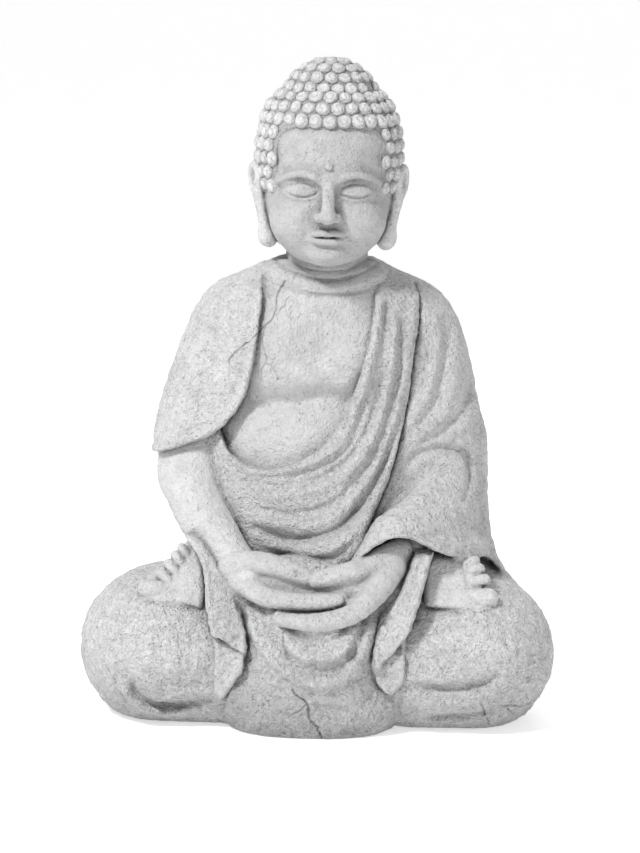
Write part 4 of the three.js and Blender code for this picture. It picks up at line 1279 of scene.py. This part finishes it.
def curl_places():
    """Centres, owners and sizes of the curls, in the upright head's own frame, with the random generator."""
    places = []
    cap = HAIR
    # arc length up the side of the cap
    zs = np.linspace(351, 478.5, 500)
    rows = cap.c
    idx = (zs - cap.z0) / (cap.z1 - cap.z0) * (cap.n - 1)
    i0 = np.minimum(idx.astype(int), cap.n - 2)
    sec = rows[i0] + (rows[i0 + 1] - rows[i0]) * (idx - i0)[:, None]
    rad = (sec[:, 2] + sec[:, 3] / 2 + sec[:, 4] / 2) / 2
    s = np.concatenate([[0], np.cumsum(np.hypot(np.diff(zs), np.diff(rad)))])
    front = np.interp(454.6, zs, s)
    pitch = 10.1
    k0 = -int(front // pitch)
    local = np.random.default_rng(21)
    row = 0
    for k in range(k0, 12):
        at = front + k * pitch
        if at > s[-1] - 2:
            break
        z = float(np.interp(at, s, zs))
        if z > 474:
            break
        j = int(np.searchsorted(zs, z))
        cx, cy, rx, ryf, ryb, sq = sec[min(j, 499), :6]
        a = np.linspace(0, 2 * math.pi, 721)
        c, sn = np.cos(a), np.sin(a)
        px = cx + np.sign(c) * np.abs(c) ** (2 / sq) * rx
        py = cy + np.sign(sn) * np.abs(sn) ** (2 / sq) * np.where(sn < 0, ryf, ryb)
        L = np.concatenate([[0], np.cumsum(np.hypot(np.diff(px), np.diff(py)))])
        n = max(6, int(round(L[-1] / 10.8)))
        # rows start from the middle of the forehead, each half a pitch on from the last
        start = np.interp(1.5 * math.pi, a, L) + (0.5 if row % 2 else 0.0) * L[-1] / n
        t = (start + L[-1] * np.arange(n) / n) % L[-1]
        for q in t:
            places.append((np.interp(q, L, px), np.interp(q, L, py), z, 0, 5.6))
        row += 1
    # crown bump
    c = np.array(CROWN_C, float)
    r = np.array(CROWN_R, float)
    ring = 0
    places.append((c[0], c[1], c[2] + r[2], 1, 5.0))
    for lat in (72.5, 56, 39.5, 23, 7):
        la = math.radians(lat)
        per = 2 * math.pi * 36.5 * math.cos(la)
        n = max(5, int(round(per / 10.6)))
        for m in range(n):
            a = 2 * math.pi * (m + (0.5 if ring % 2 else 0)) / n - math.pi / 2
            places.append((c[0] + r[0] * math.cos(la) * math.cos(a), c[1] + r[1] * math.cos(la) * math.sin(a), c[2] + r[2] * math.sin(la), 1, 5.25))
        ring += 1
    p = np.array([q[:3] for q in places], float)
    owner = np.array([q[3] for q in places])
    size = np.array([q[4] for q in places]) * (1 + 0.09 * (local.random(len(p)) - 0.5) * 2)
    p[:, 2] += local.normal(0, 0.35, len(p))
    return p, owner, size, local


def upright_cap(x, y, z):
    return HAIR(x, y, z)


def upright_crown(x, y, z):
    return ell(x, y, z, CROWN_C, CROWN_R)


def curl_shape(rings=9, around=18):
    """One snail curl as polar points, radius and angle, with its faces; unit radius."""
    pts, faces = [(0.0, 0.0)], []
    for i in range(1, rings + 1):
        for j in range(around):
            pts.append((i / rings, 2 * math.pi * j / around))
    for j in range(around):
        faces.append((0, 1 + j, 1 + (j + 1) % around))
    for i in range(rings - 1):
        for j in range(around):
            a = 1 + i * around + j
            b = 1 + i * around + (j + 1) % around
            faces.append((a, a + around, b + around, b))
    return np.array(pts), faces


def curls():
    p, owner, size, local = curl_places()
    cap = owner == 0
    nrm = np.zeros_like(p)
    for own, field in ((0, upright_cap), (1, upright_crown)):
        w = np.flatnonzero(owner == own)
        n = field_normal(field, p[w])
        q = surface_point(field, p[w], n)
        nrm[w] = field_normal(field, q)
        p[w] = q
    x, y, z = (np.ascontiguousarray(p[:, i], F) for i in range(3))
    hair = hairline(x, y, z) < -1.6
    crown_d = upright_crown(x, y, z)
    cap_d = upright_cap(x, y, z)
    keep = np.where(cap, hair & (crown_d > 2.2), cap_d > 1.6)
    shape, faces = curl_shape(8, 14)
    out = {0: [[], [], []], 1: [[], [], []]}
    for k in np.flatnonzero(keep):
        own = int(owner[k])
        n = nrm[k] / np.linalg.norm(nrm[k])
        up = np.array([0, 0, 1.0]) if abs(n[2]) < 0.9 else np.array([0, 1.0, 0])
        t = np.cross(up, n)
        t /= np.linalg.norm(t)
        b = np.cross(n, t)
        r, a = shape[:, 0], shape[:, 1]
        spin = local.random() * 6.28
        turnings = 1.55
        # spiral furrow from the rim to a small pit in the middle
        phase = (r * turnings + (a + spin) / (2 * math.pi)) % 1.0
        groove = np.exp(-(((phase - 0.5) / 0.17) ** 2)) * (r > 0.16) * (r < 0.86)
        R = size[k]
        h = R * 0.82 * np.sqrt(np.clip(1 - (r * 0.985) ** 2.3, 0, 1))
        h = h - groove * 0.5 * (0.7 + 0.5 * local.random()) - 0.55 * np.exp(-((r / 0.16) ** 2))
        # worn and chipped a little differently each time
        wear = local.normal(0, 0.05, len(r)) * (r < 0.95)
        h = h + wear
        ring = 1 + 0.05 * np.sin(a * 2 + spin) + 0.03 * np.sin(a * 3 - spin)
        v = p[k] + t * (R * r * ring * np.cos(a))[:, None] + b * (R * r * ring * np.sin(a))[:, None] + n * (h - 0.9)[:, None]
        base = sum(len(q) for q in out[own][0])
        out[own][0].append(v)
        out[own][1].append([tuple(i + base for i in f) for f in faces])
        # painted shade on each curl: the lower on the curl and the deeper in its spiral furrow, the darker
        out[own][2].append(np.clip(0.16 + 1.0 * (h / R), 0, 1) * (1 - 0.45 * groove))
    result = {}
    for own in (0, 1):
        v = np.vstack(out[own][0])
        v = np.array([tilt_point(q) for q in v])
        result[own] = (v, [f for fs in out[own][1] for f in fs], np.concatenate(out[own][2]))
    return result


# ------------------------------------------------------------------ objects
def face_labels(lab, quads):
    L = lab[quads]
    a, b, c, d = (L[:, i] for i in range(4))
    return np.where((a == b) | (a == c) | (a == d), a, np.where((b == c) | (b == d), b, np.where(c == d, c, a)))


def make_piece(name, pos, nrm, quads, open_, bare, extra=None, rim=2.2):
    used, inv = np.unique(quads, return_inverse=True)
    q = inv.reshape(-1, 4)
    v = pos[used].astype(float)
    n = nrm[used]
    op = open_[used]
    ba = bare[used]
    # an edge turned inwards closes the piece's border into the stone behind it
    e = np.stack([q, np.roll(q, -1, 1)], -1).reshape(-1, 2)
    key = np.sort(e, 1).astype(np.int64)
    key = key[:, 0] * len(v) + key[:, 1]
    uniq, first, count = np.unique(key, return_index=True, return_counts=True)
    border = e[first[count == 1]]
    if len(border):
        bv, binv = np.unique(border, return_inverse=True)
        binv = binv.reshape(-1, 2)
        inner = v[bv] - n[bv] * rim
        start = len(v)
        v = np.vstack([v, inner])
        n = np.vstack([n, n[bv]])
        # painted shade on the turned-in border: half as open as its edge
        op = np.concatenate([op, op[bv] * 0.5])
        ba = np.concatenate([ba, ba[bv]])
        strip = np.stack([border[:, 1], border[:, 0], start + binv[:, 0], start + binv[:, 1]], 1)
        q = np.vstack([q, strip])
    faces = [q.ravel().astype(np.int32)]
    sizes = [np.full(len(q), 4, np.int32)]
    if extra is not None:
        ev, ef, eo = extra
        base = len(v)
        v = np.vstack([v, ev])
        n = np.vstack([n, np.zeros((len(ev), 3))])
        op = np.concatenate([op, eo])
        ba = np.concatenate([ba, np.zeros(len(ev))])
        sizes.append(np.array([len(f) for f in ef], np.int32))
        faces.append(np.array([i + base for f in ef for i in f], np.int32))
    loops = np.concatenate(faces)
    sizes = np.concatenate(sizes)
    me = bpy.data.meshes.new(name)
    me.vertices.add(len(v))
    me.vertices.foreach_set("co", (v * MM).astype(np.float32).ravel())
    me.loops.add(len(loops))
    me.loops.foreach_set("vertex_index", loops)
    me.polygons.add(len(sizes))
    starts = np.concatenate([[0], np.cumsum(sizes)[:-1]]).astype(np.int32)
    me.polygons.foreach_set("loop_start", starts)
    me.polygons.foreach_set("loop_total", sizes)
    me.update(calc_edges=True)
    me.validate()
    me.polygons.foreach_set("use_smooth", np.ones(len(me.polygons), bool))
    for label, data in (("cavity", op), ("skin", ba)):
        at = me.attributes.new(label, "FLOAT", "POINT")
        at.data.foreach_set("value", data.astype(np.float32))
    own = np.zeros(len(me.vertices) * 3, np.float32)
    me.vertices.foreach_get("normal", own)
    own = own.reshape(-1, 3)
    given = np.linalg.norm(n, axis=1) > 0.5
    own[given] = n[given]
    me.normals_split_custom_set_from_vertices(own.tolist())
    ob = bpy.data.objects.new(name, me)
    bpy.context.scene.collection.objects.link(ob)
    return ob


# ------------------------------------------------------------------ materials
def nodes_of(name):
    m = bpy.data.materials.new(name)
    m.use_nodes = True
    t = m.node_tree
    t.nodes.clear()
    return m, t


def link(t, a, b):
    t.links.new(a, b)


def math_node(t, op, a, b=None, c=None, clamp=False):
    n = t.nodes.new("ShaderNodeMath")
    n.operation = op
    n.use_clamp = clamp
    for i, v in enumerate((a, b, c)):
        if v is None:
            continue
        if isinstance(v, (int, float)):
            n.inputs[i].default_value = v
        else:
            link(t, v, n.inputs[i])
    return n.outputs[0]


def noise_node(t, vec, scale, detail=3.0, rough=0.55, distortion=0.0):
    n = t.nodes.new("ShaderNodeTexNoise")
    n.inputs["Scale"].default_value = scale
    n.inputs["Detail"].default_value = detail
    n.inputs["Roughness"].default_value = rough
    n.inputs["Distortion"].default_value = distortion
    link(t, vec, n.inputs["Vector"])
    return n.outputs[0]


def ramp_node(t, fac, stops):
    n = t.nodes.new("ShaderNodeValToRGB")
    el = n.color_ramp.elements
    el[0].position, el[0].color = stops[0][0], (*[stops[0][1]] * 3, 1) if not isinstance(stops[0][1], tuple) else (*stops[0][1], 1)
    el[1].position, el[1].color = stops[-1][0], (*[stops[-1][1]] * 3, 1) if not isinstance(stops[-1][1], tuple) else (*stops[-1][1], 1)
    for p, c in stops[1:-1]:
        q = el.new(p)
        q.color = (*c, 1) if isinstance(c, tuple) else (c, c, c, 1)
    link(t, fac, n.inputs[0])
    return n.outputs[0]


def mix_colour(t, fac, a, b, mode="MIX"):
    n = t.nodes.new("ShaderNodeMix")
    n.data_type = "RGBA"
    n.blend_type = mode
    for i, v in ((0, fac), (6, a), (7, b)):
        if isinstance(v, (int, float)):
            n.inputs[i].default_value = v
        elif isinstance(v, tuple):
            n.inputs[i].default_value = (*v, 1)
        else:
            link(t, v, n.inputs[i])
    return n.outputs[2]


def cast_stone(name, grit, tone=0.60, low_shade=0.0):
    """Pale grey cast stone: grit is how coarse and pitted the face is, 0 to 1."""
    m, t = nodes_of(name)
    co = t.nodes.new("ShaderNodeTexCoord").outputs["Object"]
    cav = t.nodes.new("ShaderNodeAttribute")
    cav.attribute_name = "cavity"
    cavity = cav.outputs["Fac"]
    cloud = noise_node(t, co, 26.0, 4.0, 0.6)
    patch = noise_node(t, co, 95.0, 4.0, 0.62, 0.4)
    crust = noise_node(t, co, 230.0, 3.0, 0.62, 0.8)
    sand = noise_node(t, co, 470.0, 3.0, 0.72)
    fine = noise_node(t, co, 1150.0, 2.0, 0.6)
    pits = t.nodes.new("ShaderNodeTexVoronoi")
    pits.feature = "F1"
    pits.inputs["Scale"].default_value = 300.0
    pits.inputs["Randomness"].default_value = 1.0
    link(t, co, pits.inputs["Vector"])
    gate = noise_node(t, co, 120.0, 2.0, 0.5)
    hole = math_node(t, "SUBTRACT", 0.36, pits.outputs["Distance"])
    hole = math_node(t, "MULTIPLY", hole, 3.6, clamp=True)
    open_gate = ramp_node(t, gate, [(0.46 - 0.08 * grit, 0.0), (0.60 - 0.08 * grit, 1.0)])
    hole = math_node(t, "MULTIPLY", hole, open_gate)
    chips = t.nodes.new("ShaderNodeTexVoronoi")
    chips.feature = "F1"
    chips.inputs["Scale"].default_value = 560.0
    link(t, co, chips.inputs["Vector"])
    chip = math_node(t, "SUBTRACT", 0.34, chips.outputs["Distance"])
    chip = math_node(t, "MULTIPLY", chip, 3.0, clamp=True)
    # colour: clouds of a slightly lighter and darker grey, sand grains, and painted shade in hollows from the cavity
    # attribute
    base = ramp_node(t, cloud, [(0.30, tone * 0.92), (0.5, tone), (0.72, tone * 1.07)])
    base = mix_colour(t, 1.0, base, ramp_node(t, patch, [(0.26, 0.86), (0.50, 1.0), (0.75, 1.06)]), "MULTIPLY")
    base = mix_colour(t, 1.0, base, ramp_node(t, sand, [(0.28, 0.92 - 0.14 * grit), (0.46, 0.98), (0.72, 1.03 + 0.10 * grit)]), "MULTIPLY")
    base = mix_colour(t, math_node(t, "MULTIPLY", hole, 0.05 + 0.07 * grit), base, (tone * 0.40, tone * 0.40, tone * 0.395))
    # painted shade: the colour is darkened where the surface is closed in, in creases, hollows and gaps between parts
    painted_shade = ramp_node(t, cavity, [(0.05, 0.24), (0.32, 0.52), (0.58, 0.80), (0.82, 0.97), (1.0, 1.03)])
    base = mix_colour(t, 1.0, base, painted_shade, "MULTIPLY")
    # painted shade near the ground: the colour gets darker towards the bottom, by the given amount
    if low_shade:
        split = t.nodes.new("ShaderNodeSeparateXYZ")
        link(t, co, split.inputs[0])
        shade_height = math_node(t, "MULTIPLY_ADD", cloud, 0.030, split.outputs[2])
        base = mix_colour(t, 1.0, base, ramp_node(t, shade_height, [(0.014, 1.0 - low_shade), (0.045, 1.0 - 0.45 * low_shade), (0.085, 1.0)]), "MULTIPLY")
    # height
    h = math_node(t, "MULTIPLY", sand, 0.85 * grit + 0.26)
    h = math_node(t, "MULTIPLY_ADD", fine, 0.22 * grit + 0.10, h)
    h = math_node(t, "MULTIPLY_ADD", crust, 1.8 * grit + 0.38, h)
    h = math_node(t, "MULTIPLY_ADD", patch, 1.4 * grit + 0.45, h)
    h = math_node(t, "MULTIPLY_ADD", hole, -(0.46 * grit + 0.20), h)
    h = math_node(t, "MULTIPLY_ADD", chip, -(0.20 * grit + 0.05), h)
    bump = t.nodes.new("ShaderNodeBump")
    bump.inputs["Strength"].default_value = 1.0
    bump.inputs["Distance"].default_value = 0.0020 + 0.0003 * grit
    link(t, h, bump.inputs["Height"])
    rough = ramp_node(t, patch, [(0.2, 0.80), (0.8, 0.96)])
    bsdf = t.nodes.new("ShaderNodeBsdfPrincipled")
    bsdf.inputs["Specular IOR Level"].default_value = 0.22
    link(t, base, bsdf.inputs["Base Color"])
    link(t, rough, bsdf.inputs["Roughness"])
    link(t, bump.outputs[0], bsdf.inputs["Normal"])
    out = t.nodes.new("ShaderNodeOutputMaterial")
    link(t, bsdf.outputs[0], out.inputs[0])
    return m


def rod_steel():
    m, t = nodes_of("rod_steel")
    co = t.nodes.new("ShaderNodeTexCoord").outputs["Object"]
    scale = noise_node(t, co, 240.0, 4.0, 0.6)
    rust = noise_node(t, co, 60.0, 5.0, 0.65)
    base = mix_colour(t, ramp_node(t, rust, [(0.48, 0.0), (0.66, 1.0)]), (0.33, 0.32, 0.31), (0.21, 0.11, 0.065))
    base = mix_colour(t, 1.0, base, ramp_node(t, scale, [(0.3, 0.82), (0.7, 1.08)]), "MULTIPLY")
    bump = t.nodes.new("ShaderNodeBump")
    bump.inputs["Strength"].default_value = 0.3
    bump.inputs["Distance"].default_value = 0.0005
    link(t, scale, bump.inputs["Height"])
    bsdf = t.nodes.new("ShaderNodeBsdfPrincipled")
    bsdf.inputs["Metallic"].default_value = 0.85
    link(t, base, bsdf.inputs["Base Color"])
    link(t, ramp_node(t, rust, [(0.3, 0.42), (0.7, 0.85)]), bsdf.inputs["Roughness"])
    link(t, bump.outputs[0], bsdf.inputs["Normal"])
    out = t.nodes.new("ShaderNodeOutputMaterial")
    link(t, bsdf.outputs[0], out.inputs[0])
    return m


MAT = {
    "smooth": cast_stone("cast_stone_smooth", 0.38, 0.605),
    # the hands' darker tone stands in for the shade round the fingers: painted shade
    "hand": cast_stone("cast_stone_hand_shaded", 0.38, 0.545),
    "chest": cast_stone("cast_stone_chest", 0.45, 0.54),
    "face": cast_stone("cast_stone_face", 0.32, 0.46),
    "robe": cast_stone("cast_stone_coarse", 1.0, 0.61),
    "mid": cast_stone("cast_stone_sleeve", 0.8, 0.625),
    "leg": cast_stone("cast_stone_leg", 1.2, 0.73, 0.36),
    "apron": cast_stone("cast_stone_apron", 1.15, 0.68, 0.44),
    "back": cast_stone("cast_stone_back", 0.9, 0.60, 0.30),
    "hair": cast_stone("cast_stone_hair", 0.5, 0.69),
}
USES = {
    "head": "face", "right_ear": "smooth", "left_ear": "smooth", "torso": "chest", "right_arm": "smooth",
    "left_arm": "smooth", "right_hand": "hand", "left_hand": "hand", "left_foot": "smooth", "right_foot": "smooth",
    "hair_cap": "hair", "ushnisha": "hair", "robe_sash": "robe", "front_apron": "apron", "right_leg": "leg",
    "left_leg": "leg", "seat": "back", "robe_back": "mid", "right_sleeve": "mid", "left_sleeve": "mid",
    "right_robe_edge": "mid", "left_robe_edge": "mid",
}

# ------------------------------------------------------------------ the figure
curl_sets = curls()
for build in (build_body, build_head):
    pos, quads, lab, open_, bare, names = build()
    nrm = point_normals(pos, quads)
    which = face_labels(lab, quads)
    for i, name in enumerate(names):
        mine = quads[which == i]
        extra = {"hair_cap": curl_sets[0], "ushnisha": curl_sets[1]}.get(name)
        ob = make_piece(name + "_stone", pos, nrm, mine, open_, bare, extra)
        ob.data.materials.append(MAT[USES[name]])
        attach(ob, "root")
        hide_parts(name)
        print(name, len(ob.data.polygons))

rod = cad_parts["neck_rod"]
steel = rod_steel()
for s in range(max(1, len(rod.material_slots))):
    if len(rod.material_slots):
        rod.material_slots[s].material = steel
    else:
        rod.data.materials.append(steel)

# ------------------------------------------------------------------ camera
ELEV, ROLL, DIST, TX, TZ = math.radians(8.0), math.radians(1.4), 2.0, -0.002, 0.218
ahead = Vector((0, math.cos(ELEV), -math.sin(ELEV)))
above = Vector((0, math.sin(ELEV), math.cos(ELEV)))
right = Vector((1, 0, 0))
cx = right * math.cos(ROLL) + above * math.sin(ROLL)
cy = above * math.cos(ROLL) - right * math.sin(ROLL)
cam_data = bpy.data.cameras.new("camera")
cam = bpy.data.objects.new("camera", cam_data)
bpy.context.scene.collection.objects.link(cam)
rot = Matrix((cx, cy, -ahead)).transposed().to_4x4()
cam.matrix_world = Matrix.Translation(Vector((TX, 0, TZ)) - ahead * DIST) @ rot
cam_data.lens = 2600 / 853 * 36
cam_data.sensor_width = 36
cam_data.clip_start = 0.05
cam_data.clip_end = 60
bpy.context.scene.camera = cam

# ------------------------------------------------------------------ floor and light
profile = [(-14.0, 0.0), (-2.0, 0.0), (7.0, 0.0)]
for k in range(1, 25):
    a = math.pi / 2 * k / 24
    profile.append((7.0 + 3.0 * math.sin(a), 3.0 - 3.0 * math.cos(a)))
profile.append((10.0, 9.0))
sweep = bpy.data.meshes.new("floor")
sweep.from_pydata(
    [(sx, yy, zz) for yy, zz in profile for sx in (-16.0, 16.0)],
    [],
    [(2 * k, 2 * k + 1, 2 * k + 3, 2 * k + 2) for k in range(len(profile) - 1)],
)
sweep.polygons.foreach_set("use_smooth", [True] * len(sweep.polygons))
floor = bpy.data.objects.new("floor", sweep)
bpy.context.scene.collection.objects.link(floor)
m, t = nodes_of("floor")
bs = t.nodes.new("ShaderNodeBsdfPrincipled")
bs.inputs["Base Color"].default_value = (0.84, 0.84, 0.84, 1)
bs.inputs["Roughness"].default_value = 0.9
bs.inputs["Specular IOR Level"].default_value = 0.1
bs.inputs["Emission Color"].default_value = (1, 1, 1, 1)
bs.inputs["Emission Strength"].default_value = 0.49
out = t.nodes.new("ShaderNodeOutputMaterial")
link(t, bs.outputs[0], out.inputs[0])
floor.data.materials.append(m)


def area_light(name, place, aim, size, power, tint=(1, 1, 1)):
    d = bpy.data.lights.new(name, "AREA")
    d.shape = "DISK"
    d.size = size
    d.energy = power
    d.color = tint
    o = bpy.data.objects.new(name, d)
    o.location = place
    o.rotation_euler = (Vector(aim) - Vector(place)).to_track_quat("-Z", "Y").to_euler()
    bpy.context.scene.collection.objects.link(o)


area_light("key", (-1.35, -1.5, 2.3), (0, 0, 0.25), 0.5, 76)
area_light("fill", (1.9, -1.6, 1.0), (0, 0, 0.25), 1.8, 7)
area_light("rear", (0.6, 2.0, 1.8), (0, 0, 0.3), 1.4, 16)
world = bpy.data.worlds.new("studio")
bpy.context.scene.world = world
world.use_nodes = True
world.node_tree.nodes["Background"].inputs[0].default_value = (1, 1, 1, 1)
world.node_tree.nodes["Background"].inputs[1].default_value = 0.42
bpy.context.scene.view_settings.view_transform = "Standard"
bpy.context.scene.view_settings.look = "None"

bpy.context.view_layer.update()
